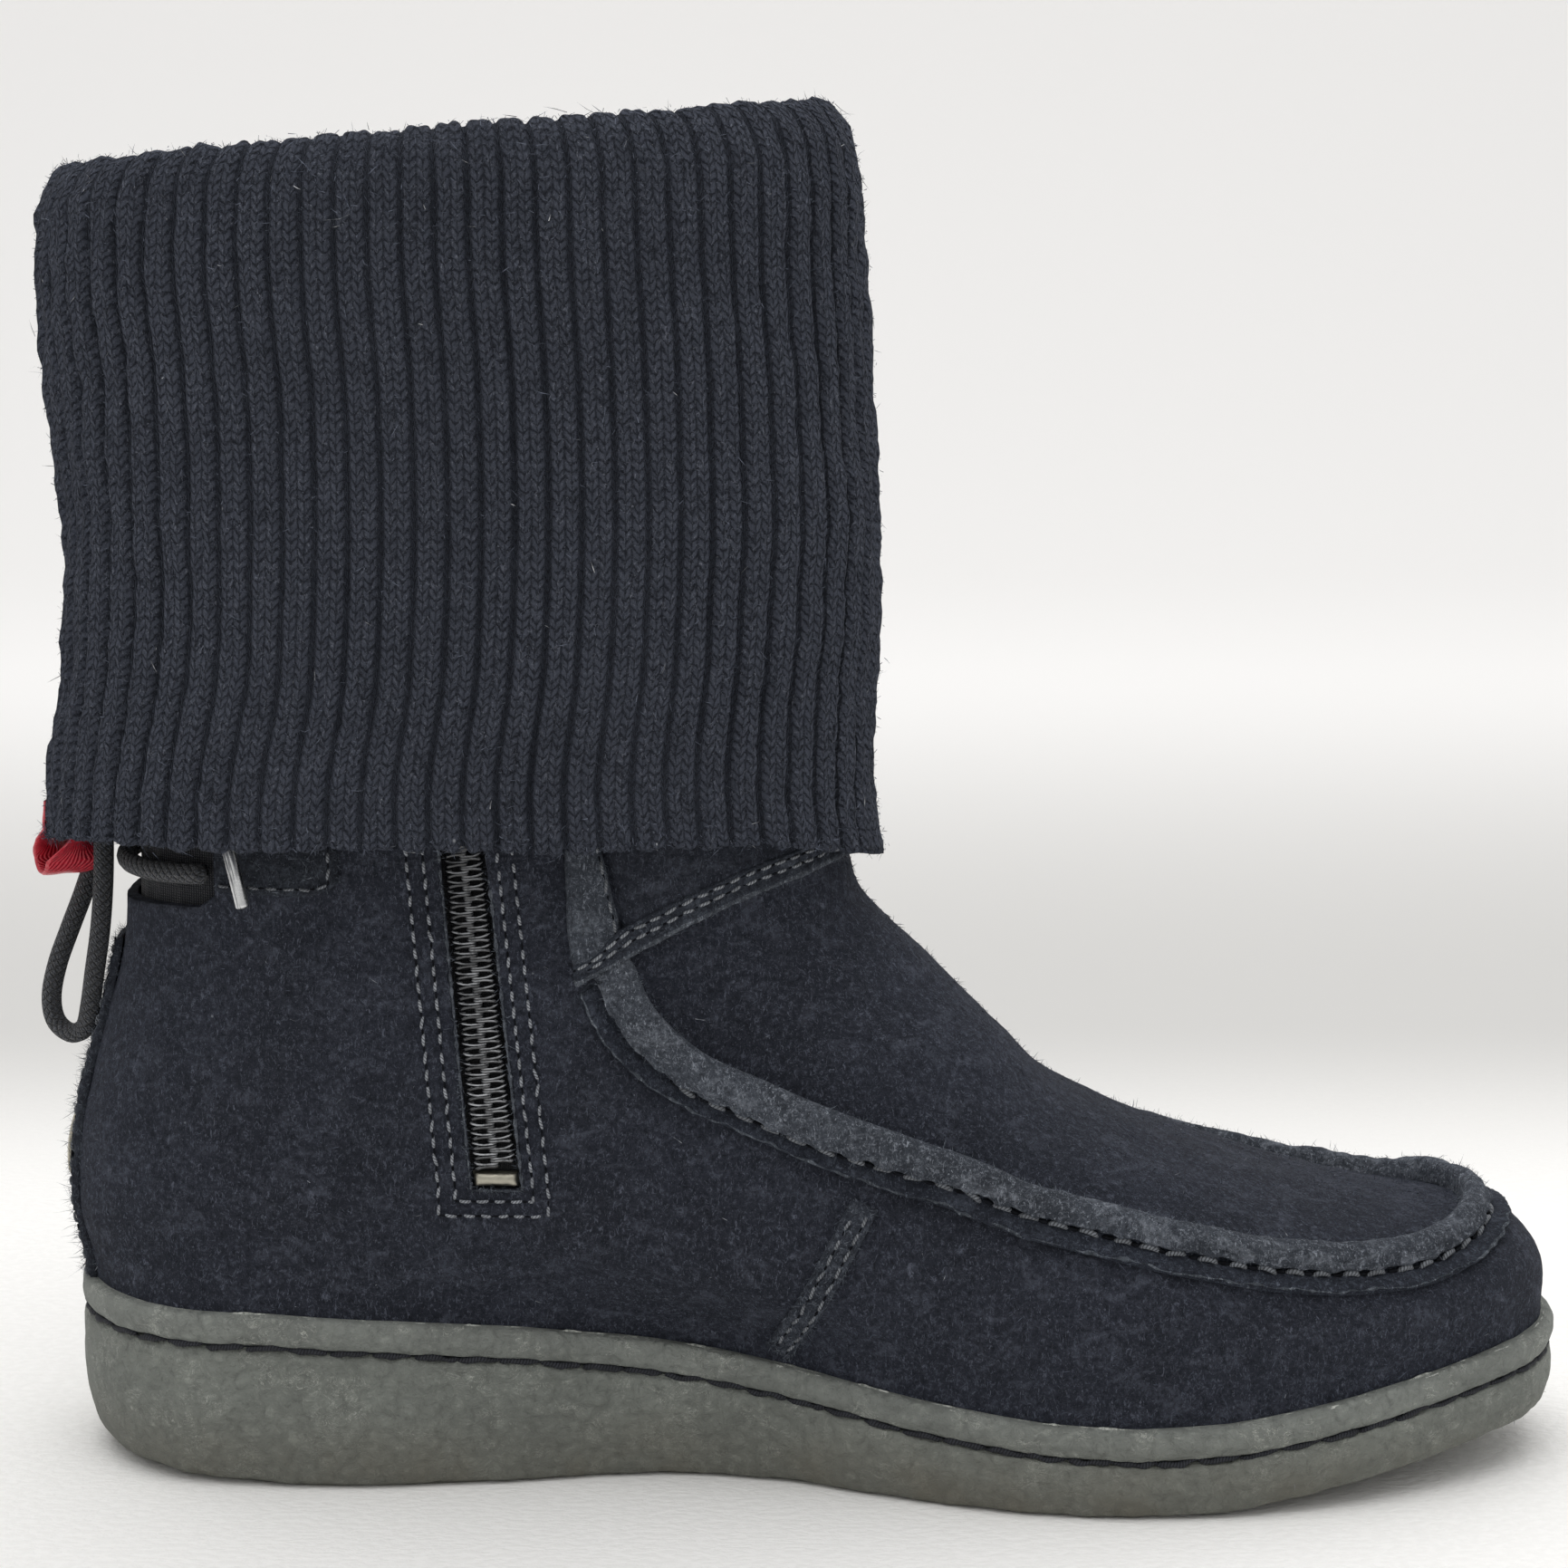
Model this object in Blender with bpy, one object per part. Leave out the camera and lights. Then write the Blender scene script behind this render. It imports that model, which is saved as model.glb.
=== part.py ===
"""Waterproof suede ankle boot for the left foot, with a folded knit cuff, a side zip and heel lacing.

Metres, +Z up, toe towards +X, medial side towards -Y. The boot is drawn with x = 0 at the back of the
sole, and the finished pieces are placed so that their box is centred over the origin.
"""

import math

import bmesh
import bpy
import numpy as np
from mathutils import Vector

# Driving sizes of the boot
LENGTH = 0.276
BALL_WIDTH = 0.098
HEEL_HEIGHT = 0.0330
FOREFOOT_HEIGHT = 0.0165
TOE_SPRING = 0.009
INSTEP_HEIGHT = 0.083
SHAFT_HEIGHT = 0.050
BAND_HEIGHT = 0.006
WALL = 0.002
LEDGE = 0.0016
GAP = 0.0003

# Sole
SOLE_BULGE = 0.0008
SOLE_EDGE_ROUND = 0.0030
HEEL_UNDERCUT = 0.0075
HEEL_UNDERCUT_REACH = 0.045
INSOLE_THICKNESS = 0.003
INSOLE_CLEARANCE = 0.0016
FEATHER_REACH = 0.018

# Folded knit cuff
CUFF_TOP = 0.2475
CUFF_TOP_DROP = 0.0115
CUFF_HEM = 0.1180
CUFF_HEM_DROP_FRONT = 0.0065
CUFF_HEM_DROP_BACK = 0.0040
CUFF_LAYER = 0.0042
CUFF_INNER_LAYER = 0.0040
CUFF_HALF_WIDTH = 0.4184 * BALL_WIDTH
CUFF_SQUARENESS = 2.45

# Suede laid over the upper
OVERLAY = 0.0011
STRAP_THICKNESS = 0.0017
RIDGE_HEIGHT = 0.0042
RIDGE_WIDTH = 0.0068
FLANGE_WIDTH = 0.0034
LAP_WIDTH = 0.0052
LACE_TAB_LENGTH = 0.0222
LACE_TAB_HEIGHT = 0.0108
# From the window's foot up to the patch's own
LACE_TAB_RISE = 0.0040
BADGE_WIDTH = 0.016
BADGE_HEIGHT = 0.0115
BADGE_THICKNESS = 0.0007

# Side zip, as it lies on the medial side
ZIP_FOOT = (0.0798, 0.0562)
ZIP_HEAD = (0.0712, 0.1500)
ZIP_SLOT_FOOT_WIDTH = 0.0088
ZIP_SLOT_HEAD_WIDTH = 0.0076
ZIP_TAPE_WIDTH = 0.021
ZIP_TAPE_THICKNESS = 0.0007
ZIP_COIL_WIDTH = 0.0056
ZIP_COIL_HEIGHT = 0.0021
ZIP_STOP_LENGTH = 0.0026

# Heel window and its lacing
WINDOW_FRONT = 0.0295
WINDOW_FOOT = HEEL_HEIGHT + 0.863 * INSTEP_HEIGHT
WINDOW_HEIGHT = 0.48 * SHAFT_HEIGHT
GUSSET_THICKNESS = 0.0010
CORD = 0.0037
TAG = 0.0025
KNOT = 0.0070
TAB_RIBBON = 0.0010
TAB_WIDTH = 0.011

# Outline of the sole, heel to toe: place along as a share of LENGTH, then how far the medial and the
# lateral edge lie from the centre line as shares of BALL_WIDTH.
OUTLINE = (
    (0.0000, 0.000, 0.000),
    (0.0095, 0.133, 0.133),
    (0.0365, 0.245, 0.243),
    (0.0760, 0.320, 0.318),
    (0.1300, 0.350, 0.350),
    (0.2100, 0.356, 0.362),
    (0.3000, 0.327, 0.370),
    (0.3900, 0.287, 0.384),
    (0.4700, 0.320, 0.412),
    (0.5500, 0.415, 0.452),
    (0.6250, 0.487, 0.482),
    (0.6950, 0.513, 0.488),
    (0.7650, 0.500, 0.460),
    (0.8300, 0.455, 0.425),
    (0.8860, 0.385, 0.362),
    (0.9320, 0.303, 0.282),
    (0.9660, 0.226, 0.196),
    (0.9865, 0.134, 0.092),
    (0.9940, 0.022, -0.022),
)

# Top of the sole along its length: place as a share of LENGTH, share of the wedge that lifts the heel
# above the forefoot, share of the toe spring.
SOLE_RISE = (
    (0.000, 1.00, 0.00),
    (0.140, 0.98, 0.00),
    (0.220, 0.90, 0.00),
    (0.300, 0.79, 0.00),
    (0.380, 0.60, 0.00),
    (0.480, 0.35, 0.00),
    (0.560, 0.16, 0.00),
    (0.640, 0.04, 0.00),
    (0.700, 0.00, 0.00),
    (0.760, 0.00, 0.07),
    (0.830, 0.00, 0.35),
    (0.890, 0.00, 0.63),
    (0.950, 0.00, 0.87),
    (1.000, 0.00, 1.02),
)

# Sections of the upper, toe to collar. Each is an oval in a plane that holds the Y direction and runs
# from a back point to a front point. Columns: back x and rise, front x and rise, medial and lateral
# half width, share of the way from back to front where it is widest, squareness towards the front and
# towards the back. x is a share of LENGTH, a width is a share of BALL_WIDTH, and a rise is measured
# from the top of the sole: 0 to 1 is INSTEP_HEIGHT, and what is above 1 is a share of SHAFT_HEIGHT.
SECTIONS = (
    (0.9905, -0.085, 0.9905, 0.030, 0.000, 0.000, 0.50, 2.2, 2.6),
    (0.9835, -0.110, 0.9835, 0.140, 0.130, 0.110, 0.44, 2.3, 2.8),
    (0.9640, -0.130, 0.9640, 0.222, 0.238, 0.200, 0.40, 2.4, 2.8),
    (0.9340, -0.145, 0.9340, 0.258, 0.325, 0.280, 0.38, 2.5, 2.8),
    (0.8900, -0.150, 0.8900, 0.288, 0.400, 0.345, 0.37, 2.5, 2.8),
    (0.8300, -0.140, 0.8330, 0.352, 0.455, 0.400, 0.37, 2.5, 2.8),
    (0.7600, -0.120, 0.7650, 0.450, 0.490, 0.440, 0.38, 2.4, 2.8),
    (0.6830, -0.115, 0.6990, 0.545, 0.500, 0.462, 0.39, 2.3, 2.8),
    (0.5960, -0.130, 0.6470, 0.638, 0.475, 0.465, 0.40, 2.2, 2.8),
    (0.5000, -0.145, 0.6070, 0.768, 0.430, 0.440, 0.42, 2.1, 2.8),
    (0.3990, -0.160, 0.5720, 0.873, 0.390, 0.410, 0.44, 2.1, 2.8),
    (0.2890, -0.175, 0.5410, 0.958, 0.368, 0.385, 0.46, 2.1, 2.8),
    (0.1750, -0.160, 0.5220, 1.035, 0.360, 0.370, 0.47, 2.2, 2.8),
    (0.0690, -0.110, 0.5150, 1.190, 0.355, 0.362, 0.48, 2.2, 2.8),
    (0.0055, 0.020, 0.5130, 1.330, 0.350, 0.357, 0.49, 2.3, 2.8),
    (-0.0005, 0.205, 0.5120, 1.460, 0.342, 0.350, 0.49, 2.3, 2.7),
    (0.0055, 0.400, 0.5115, 1.580, 0.335, 0.342, 0.50, 2.3, 2.6),
    (0.0210, 0.590, 0.5110, 1.680, 0.328, 0.335, 0.50, 2.3, 2.5),
    (0.0335, 0.770, 0.5110, 1.770, 0.326, 0.332, 0.50, 2.3, 2.5),
    (0.0365, 0.985, 0.5115, 1.850, 0.328, 0.332, 0.50, 2.3, 2.5),
    (0.0325, 1.360, 0.5120, 1.930, 0.332, 0.334, 0.50, 2.4, 2.5),
    (0.0280, 1.700, 0.5130, 2.010, 0.336, 0.336, 0.50, 2.4, 2.5),
)

# Folded cuff, hem to fold: share of the height, how far the back stands behind x = 0 and the front
# ahead of it as shares of LENGTH, half width as a share of CUFF_HALF_WIDTH.
CUFF_SECTIONS = (
    (0.00, -0.0200, 0.5400, 1.010),
    (0.10, -0.0150, 0.5330, 1.000),
    (0.25, -0.0040, 0.5370, 0.990),
    (0.45, -0.0015, 0.5380, 0.985),
    (0.65, -0.0040, 0.5330, 0.975),
    (0.82, -0.0120, 0.5270, 0.965),
    (0.93, -0.0100, 0.5220, 0.950),
    (1.00, -0.0040, 0.5140, 0.915),
)

# Raised seam of the apron, from the middle of the toe up one side: row of SECTIONS, turn in degrees.
# The other side is its mirror.
APRON_SEAM = (
    (2.70, 0.0),
    (2.86, 18.5),
    (3.25, 32.0),
    (3.95, 41.5),
    (4.75, 46.5),
    (5.65, 50.0),
    (6.60, 52.0),
    (7.50, 54.0),
    (8.50, 58.5),
    (9.40, 63.0),
    (10.40, 66.0),
    (11.60, 66.5),
    (12.80, 65.5),
    (13.85, 65.0),
)

# Cross-section of that seam: place across as a share of the ridge's width, up towards the apron, and
# height as a share of its height. The flange below it is its first stretch.
RIDGE_PROFILE = (
    (-0.50, 0.26),
    (-0.43, 0.70),
    (-0.20, 0.96),
    (0.16, 1.00),
    (0.44, 0.78),
    (0.50, 0.08),
)
# Where the seam rests on the upper between its two edges, as shares of the ridge's width
SEAT_PLACES = (0.12, -0.30, -0.72)
SEAM_STEPS_PER_SIDE = 21

# Lower edge of the throat panel, from the middle of the front to the strap: turn in degrees, row.
PANEL_EDGE = ((0, 12.95), (16, 13.05), (32, 13.45), (45, 13.86), (54, 14.05), (63, 14.16))
# Strap between that panel and the quarter: row, turn of its front edge, turn of its back edge.
STRAP_EDGES = ((14.22, 64.0, 70.2), (15.0, 64.6, 71.2), (16.6, 68.7, 73.6), (18.5, 70.4, 75.6), (19.4, 71.2, 76.4))
# Strip up the back of the heel: row, turn to either side in degrees.
HEEL_STRIP_EDGES = ((13.50, 19.0), (14.5, 18.5), (15.4, 18.0), (16.3, 16.5), (17.1, 14.5), (17.95, 12.5))
SIDE_LAP_ROW = 9.55
SIDE_LAP_TURNS = (75.5, 133.0)
HIDDEN_TOP_ROW = 19.4

# Route of the hanging loop of cord, down one strand and up the other
LOOP_ROUTE = (
    (0.0044, 0.0018, 0.1222),
    (0.0042, 0.0019, 0.1160),
    (0.0030, 0.0020, 0.1095),
    (0.0008, 0.0021, 0.1030),
    (-0.0020, 0.0020, 0.0960),
    (-0.0044, 0.0016, 0.0895),
    (-0.0056, 0.0010, 0.0835),
    (-0.0048, 0.0002, 0.0790),
    (-0.0018, -0.0012, 0.0769),
    (0.0012, -0.0030, 0.0784),
    (0.0027, -0.0052, 0.0829),
    (0.0041, -0.0069, 0.0900),
    (0.0054, -0.0075, 0.0975),
    (0.0061, -0.0071, 0.1050),
    (0.0063, -0.0060, 0.1130),
    (0.0060, -0.0044, 0.1222),
)
# Route of the cord's end from the knot to its tag, between the upper and the cuff
END_ROUTE = (
    (0.0068, -0.0056, 0.1262),
    (0.0077, -0.0108, 0.1272),
    (0.0110, -0.0171, 0.1284),
    (0.0158, -0.0222, 0.1294),
    (0.0212, -0.0260, 0.1296),
    (0.0262, -0.0286, 0.1284),
    (0.0300, -0.0303, 0.1258),
    (0.0318, -0.0310, 0.1226),
)
TAG_FOOT = (0.0355, -0.0324, 0.1066)
KNOT_CENTRE = (0.0050, -0.0006, 0.1257)

SOLE_STEPS_PER_ROW = 2
UPPER_STEPS_AROUND = 36
CUFF_STEPS_AROUND = 36


def mirrored_ends(rows, first, last):
    """The rows with one more at each end. In each column it repeats the neighbour's value where first or
    last is 1, and carries the end row on in a straight line where it is -1."""
    rows = np.array(rows, float)
    before = np.where(np.array(first) > 0, rows[1], 2 * rows[0] - rows[1])
    after = np.where(np.array(last) > 0, rows[-2], 2 * rows[-1] - rows[-2])
    return np.vstack([before, rows, after])


def smooth(rows, at):
    """A table with its steering end rows, read at row numbers that need not be whole."""
    at = np.clip(np.asarray(at, float), 0.0, len(rows) - 3 - 1e-9)
    k = at.astype(int)
    f = (at - k)[..., None]
    a, b, c, d = rows[k], rows[k + 1], rows[k + 2], rows[k + 3]
    bend = (2 * a - 5 * b + 4 * c - d) * f**2 + (3 * b - a - 3 * c + d) * f**3
    return 0.5 * (2 * b + (c - a) * f + bend)


def outline_stations():
    """(x, medial reach, lateral reach) along the sole, closely spaced, each reach from the centre line."""
    rows = mirrored_ends(np.array(OUTLINE) * (LENGTH, BALL_WIDTH, BALL_WIDTH), (1, -1, -1), (1, -1, -1))
    count = (len(OUTLINE) - 1) * SOLE_STEPS_PER_ROW
    return smooth(rows, np.arange(count + 1) / SOLE_STEPS_PER_ROW)


STATIONS = outline_stations()
RISE_ROWS = np.array(SOLE_RISE)


def spring(x):
    """How far toe spring lifts the sole at x."""
    return TOE_SPRING * np.interp(x / LENGTH, RISE_ROWS[:, 0], RISE_ROWS[:, 2])


def sole_top(x):
    """Height of the top of the sole at x."""
    wedge = np.interp(x / LENGTH, RISE_ROWS[:, 0], RISE_ROWS[:, 1])
    return FOREFOOT_HEIGHT + wedge * (HEEL_HEIGHT - FOREFOOT_HEIGHT) + spring(x)


def sole_bottom(x):
    return spring(x)


HEEL_CENTRE = OUTLINE[4][0] * LENGTH
TOE_CENTRE = OUTLINE[13][0] * LENGTH
TOE_SWING = -OUTLINE[-1][1] * BALL_WIDTH


def spine(x):
    """The nearest point of the sole's centre line, from the middle of the heel to that of the toe."""
    middle = np.clip(x, HEEL_CENTRE, TOE_CENTRE)
    swing = TOE_SWING * np.clip((x - TOE_CENTRE) / (LENGTH - TOE_CENTRE), 0, 1)
    return middle, swing * (x > TOE_CENTRE)


def sole_reach(x, y):
    """Distance from the spine to the sole's edge in the direction of a point."""
    middle, swing = spine(x)
    away_x = x - middle
    away_y = y - swing
    medial = away_y < 0
    straight = np.where(
        medial,
        np.interp(x, STATIONS[:, 0], STATIONS[:, 1]),
        np.interp(x, STATIONS[:, 0], STATIONS[:, 2]),
    )
    around = np.arctan2(away_y, np.abs(away_x) + 1e-12)
    found = straight
    for centre, ahead in ((HEEL_CENTRE, False), (TOE_CENTRE, True)):
        end = STATIONS[STATIONS[:, 0] >= centre] if ahead else STATIONS[STATIONS[:, 0] <= centre]
        ring_x = np.concatenate([end[:, 0], end[:, 0]])
        ring_y = np.concatenate([-end[:, 1], end[:, 2]])
        ring_swing = spine(ring_x)[1]
        angle = np.arctan2(ring_y - ring_swing, np.abs(ring_x - centre) + 1e-12)
        radius = np.hypot(ring_x - centre, ring_y - ring_swing)
        order = np.argsort(angle)
        inside = (x > centre) if ahead else (x < centre)
        found = np.where(inside, np.interp(around, angle[order], radius[order]), found)
    return found


def rise(share):
    """A share of the last's height in metres: up to 1 over the instep, and above it up the shaft."""
    return INSTEP_HEIGHT * np.minimum(share, 1.0) + SHAFT_HEIGHT * np.maximum(share - 1.0, 0.0)


def last_rows():
    """SECTIONS in metres, with the rows that steer its ends."""
    rows = np.array(SECTIONS)
    for x_column in (0, 2):
        rows[:, x_column] *= LENGTH
        rows[:, x_column + 1] = sole_top(rows[:, x_column]) + rise(rows[:, x_column + 1])
    rows[:, 4:6] *= BALL_WIDTH
    toe = (1, -1, 1, -1, -1, -1, 1, 1, 1)
    return mirrored_ends(rows, toe, (-1,) * 9)


LAST = last_rows()
COLLAR = len(SECTIONS) - 1
TOE_WEIGHT_ROWS = 8.0


def last_point(row, turn):
    """Points of the upper's outer face: row is a row number of SECTIONS, and turn goes round a section in
    radians, from 0 at the front over the medial side to pi at the back."""
    row, turn = np.broadcast_arrays(np.asarray(row, float), np.asarray(turn, float))
    q = smooth(LAST, row)
    c, s = np.cos(turn), np.sin(turn)
    squareness = np.where(c > 0, q[..., 7], q[..., 8])
    grow = (np.abs(c) ** squareness + np.abs(s) ** squareness) ** (-1 / squareness)
    share = q[..., 6] + np.where(c > 0, 1 - q[..., 6], q[..., 6]) * c * grow
    half = np.where(s > 0, q[..., 4], q[..., 5])
    toward_toe = np.clip(1 - row / TOE_WEIGHT_ROWS, 0, 1) ** 2
    x = q[..., 0] + share * (q[..., 2] - q[..., 0])
    z = q[..., 1] + share * (q[..., 3] - q[..., 1])
    y = TOE_SWING * toward_toe - s * grow * half
    middle, swing = spine(x)
    reach = np.hypot(x - middle, y - swing)
    wanted = sole_reach(x, y) - LEDGE
    above = np.clip((z - sole_top(x)) / FEATHER_REACH, 0, 1)
    pull = (1 - above) ** 2 * (1 + 2 * above)
    scale = 1 + pull * (wanted / np.maximum(reach, 1e-6) - 1)
    scale = np.where(reach > 0.006, scale, 1.0)
    return np.stack([middle + (x - middle) * scale, swing + (y - swing) * scale, z], -1)


def last_frame(row, turn):
    """(point, step per row, step per radian, outward normal) on the upper's outer face."""
    step = 1e-3
    low = np.clip(np.asarray(row, float), step, COLLAR - step)
    along = (last_point(low + step, turn) - last_point(low - step, turn)) / (2 * step)
    around = (last_point(low, turn + step) - last_point(low, turn - step)) / (2 * step)
    normal = np.cross(along, around)
    normal /= np.linalg.norm(normal, axis=-1, keepdims=True)
    return last_point(row, turn), along, around, normal


def on_last(row, turn, out=0.0):
    """A point that stands out from the upper's outer face."""
    point, _, _, normal = last_frame(row, turn)
    return point + np.asarray(out, float)[..., None] * normal


def material(name, colour, roughness, metallic=0.0):
    made = bpy.data.materials.new(name)
    made.use_nodes = True
    shader = made.node_tree.nodes["Principled BSDF"]
    shader.inputs["Base Color"].default_value = (*colour, 1.0)
    shader.inputs["Roughness"].default_value = roughness
    shader.inputs["Metallic"].default_value = metallic
    return made


def add_mesh(name, points, faces, finish):
    """A closed mesh object, its faces turned outwards and shaded smooth but for sharp edges."""
    mesh = bpy.data.meshes.new(name)
    mesh.from_pydata([tuple(point) for point in points], [], faces)
    work = bmesh.new()
    work.from_mesh(mesh)
    bmesh.ops.remove_doubles(work, verts=work.verts, dist=1e-6)
    bmesh.ops.dissolve_degenerate(work, dist=1e-7, edges=work.edges)
    bmesh.ops.recalc_face_normals(work, faces=work.faces)
    if work.calc_volume(signed=True) < 0:
        bmesh.ops.reverse_faces(work, faces=work.faces)
    work.to_mesh(mesh)
    work.free()
    mesh.shade_smooth()
    mesh.set_sharp_from_angle(angle=math.radians(40))
    mesh.materials.append(finish)
    made = bpy.data.objects.new(name, mesh)
    bpy.context.scene.collection.objects.link(made)
    return made


def ring_faces(rings, around, closed_around=True, closed_along=False):
    """Quads between neighbouring rings, numbered ring by ring."""
    faces = []
    last_ring = rings if closed_along else rings - 1
    for ring in range(last_ring):
        here, there = ring * around, (ring + 1) % rings * around
        for k in range(around if closed_around else around - 1):
            after = (k + 1) % around
            faces.append((here + k, here + after, there + after, there + k))
    return faces


def cutter(name, points, faces):
    """A hidden solid that only cuts."""
    made = add_mesh(name, points, faces, material(name, (0.5, 0.5, 0.5), 0.5))
    made.hide_render = True
    made.display_type = "WIRE"
    return made


def cut(target, tool, operation="DIFFERENCE"):
    boolean = target.modifiers.new(tool.name, "BOOLEAN")
    boolean.object = tool
    boolean.operation = operation


def sole_ring(inset, height):
    """One ring round the sole: medial edge heel to toe, then lateral edge back. height(x) gives z."""
    medial = np.stack([STATIONS[:, 0], -STATIONS[:, 1]], -1)
    lateral = np.stack([STATIONS[:, 0], STATIONS[:, 2]], -1)
    ring = np.vstack([medial, lateral[-2:0:-1]])
    ahead = np.roll(ring, -1, axis=0) - np.roll(ring, 1, axis=0)
    ahead /= np.linalg.norm(ahead, axis=1, keepdims=True)
    inward = np.stack([-ahead[:, 1], ahead[:, 0]], -1)
    ring = ring + inward * np.asarray(inset).reshape(-1, 1)
    return np.column_stack([ring, height(ring[:, 0])])


def ring_caps(first):
    """Faces across a sole ring that starts at vertex number first, joining its two edges."""
    stations = len(STATIONS)
    count = 2 * stations - 2
    faces = []
    for k in range(stations - 1):
        left = (first + k, first + k + 1)
        right = (first + (count - k - 1) % count, first + (count - k) % count)
        corners = [left[0], left[1], right[0], right[1]]
        faces.append([c for i, c in enumerate(corners) if c not in corners[:i]])
    return faces


def sole_solid(name, levels, finish):
    """A layer of the sole from its rings, bottom to top, each (inset, height function)."""
    rings = [sole_ring(inset, height) for inset, height in levels]
    count = len(rings[0])
    faces = ring_faces(len(rings), count)
    faces += ring_caps(0)
    faces += ring_caps((len(rings) - 1) * count)
    return add_mesh(name, np.vstack(rings), faces, finish)


def outsole():
    """Wedge of crepe rubber with a rolled lower edge and a heel that is undercut at the back."""
    edge_x = np.concatenate([STATIONS[:, 0], STATIONS[-2:0:-1, 0]])
    heelness = np.clip(1 - edge_x / HEEL_UNDERCUT_REACH, 0, 1)

    def between(share):
        return lambda x: sole_bottom(x) + share * (sole_top(x) - BAND_HEIGHT - GAP - sole_bottom(x))

    # Columns: inset as a share of the edge round, share of the heel's undercut, share of the height
    profile = (
        (1.00, 1.00, 0.00),
        (0.36, 0.45, 0.06),
        (0.05, 0.14, 0.22),
        (-0.22, 0.02, 0.55),
        (0.00, 0.00, 0.93),
        (0.18, 0.00, 1.00),
    )
    levels = [
        (SOLE_EDGE_ROUND * edge + HEEL_UNDERCUT * under * heelness, between(share))
        for edge, under, share in profile
    ]
    return sole_solid("outsole", levels, material("crepe_rubber", (0.128, 0.138, 0.125), 0.75))


def midsole():
    """Band of softer rubber round the boot, with a lip that the upper stands inside."""

    def at(share):
        return lambda x: sole_top(x) - BAND_HEIGHT * (1 - share)

    # Columns: inset as a share of SOLE_BULGE, share of the band's height
    profile = ((1.0, 0.0), (0.0, 0.12), (-1.0, 0.45), (-0.6, 0.80), (0.0, 1.0))
    levels = [(SOLE_BULGE * inset, at(share)) for inset, share in profile]
    return sole_solid("midsole", levels, material("band_rubber", (0.125, 0.135, 0.124), 0.7))


def insole():
    inset = LEDGE + WALL + INSOLE_CLEARANCE
    levels = [
        (inset, lambda x: sole_top(x) + GAP),
        (inset, lambda x: sole_top(x) + GAP + INSOLE_THICKNESS),
    ]
    return sole_solid("insole", levels, material("insole_cloth", (0.05, 0.05, 0.055), 0.95))


def upper_rows():
    """Row numbers of the upper's rings: each section, and one more between those that lie far apart."""
    between = (0.5, 1.5, 2.5, 6.5, 7.5, 8.5, 9.5, 13.5, 14.5)
    return sorted(list(range(COLLAR + 1)) + list(between))


def upper():
    """The suede upper: one wall from toe to collar, open at the collar and under the foot."""
    rows = np.array(upper_rows(), float)
    turns = np.arange(UPPER_STEPS_AROUND) * 2 * math.pi / UPPER_STEPS_AROUND
    grid_row, grid_turn = np.meshgrid(rows, turns, indexing="ij")
    outer = on_last(grid_row, grid_turn)
    inner = on_last(grid_row, grid_turn, np.full(grid_row.shape, -WALL))
    # The toe's end ring is a line up the middle, shared by both sides
    for face in (outer, inner):
        face[0, :, 1] = outer[0, 0, 1]
        back = face[0, 1:][::-1]
        face[0, 1:] = (face[0, 1:] + back) / 2
    rings = np.concatenate([outer, inner[::-1]])
    made = add_mesh(
        "upper",
        rings.reshape(-1, 3),
        ring_faces(len(rings), UPPER_STEPS_AROUND, closed_along=False),
        material("suede", (0.024, 0.028, 0.038), 0.95),
    )
    cut(made, foot_cutter())
    cut(made, zip_cutter())
    cut(made, window_cutter())
    return made


def foot_cutter():
    """What lies under the top of the sole, from end to end of the boot."""
    margin = 0.03
    xs = np.concatenate([[-margin], STATIONS[1:, 0], [LENGTH + margin]])
    zs = sole_top(xs) + GAP
    side = 0.09
    low = -margin
    points = [(x, y, z) for y in (-side, side) for x, z in zip(xs, zs)]
    points += [(x, y, low) for y in (-side, side) for x in (xs[0], xs[-1])]
    count = len(xs)
    faces = [(k, k + 1, count + k + 1, count + k) for k in range(count - 1)]
    near = [2 * count, 2 * count + 1] + list(range(count - 1, -1, -1))
    far = [2 * count + 2, 2 * count + 3] + list(range(2 * count - 1, count - 1, -1))
    faces += [near, far]
    faces.append((2 * count, 2 * count + 1, 2 * count + 3, 2 * count + 2))
    faces.append((2 * count, 0, count, 2 * count + 2))
    faces.append((2 * count + 1, count - 1, 2 * count - 1, 2 * count + 3))
    return cutter("cut_under_foot", points, faces)


def zip_line(share):
    """(x, z) along the zip, from its foot to its head."""
    return tuple(foot + share * (head - foot) for foot, head in zip(ZIP_FOOT, ZIP_HEAD))


def zip_cutter():
    """The slot of the zip, cut from outside through the medial wall and up through the collar."""
    near, far = -0.06, -0.015
    beyond = 1.2
    head_x, head_z = zip_line(beyond)
    head_half = ZIP_SLOT_HEAD_WIDTH / 2
    foot_half = ZIP_SLOT_FOOT_WIDTH / 2
    outline = (
        (ZIP_FOOT[0] - foot_half, ZIP_FOOT[1]),
        (ZIP_FOOT[0] + foot_half, ZIP_FOOT[1]),
        (head_x + head_half, head_z),
        (head_x - head_half, head_z),
    )
    return cutter("cut_zip_slot", *prism(outline, near, far))


def window_cutter():
    """The window at the back of the heel, from one lace tab to the other."""
    front, foot, head = WINDOW_FRONT, WINDOW_FOOT, WINDOW_FOOT + WINDOW_HEIGHT
    corner = 0.003
    back = -0.02
    outline = (
        (back, foot - 0.0012),
        (front - corner, foot + 0.0008),
        (front, foot + corner),
        (front, head - corner),
        (front - corner, head),
        (back, head),
    )
    return cutter("cut_heel_window", *prism(outline, -0.06, 0.06))


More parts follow.
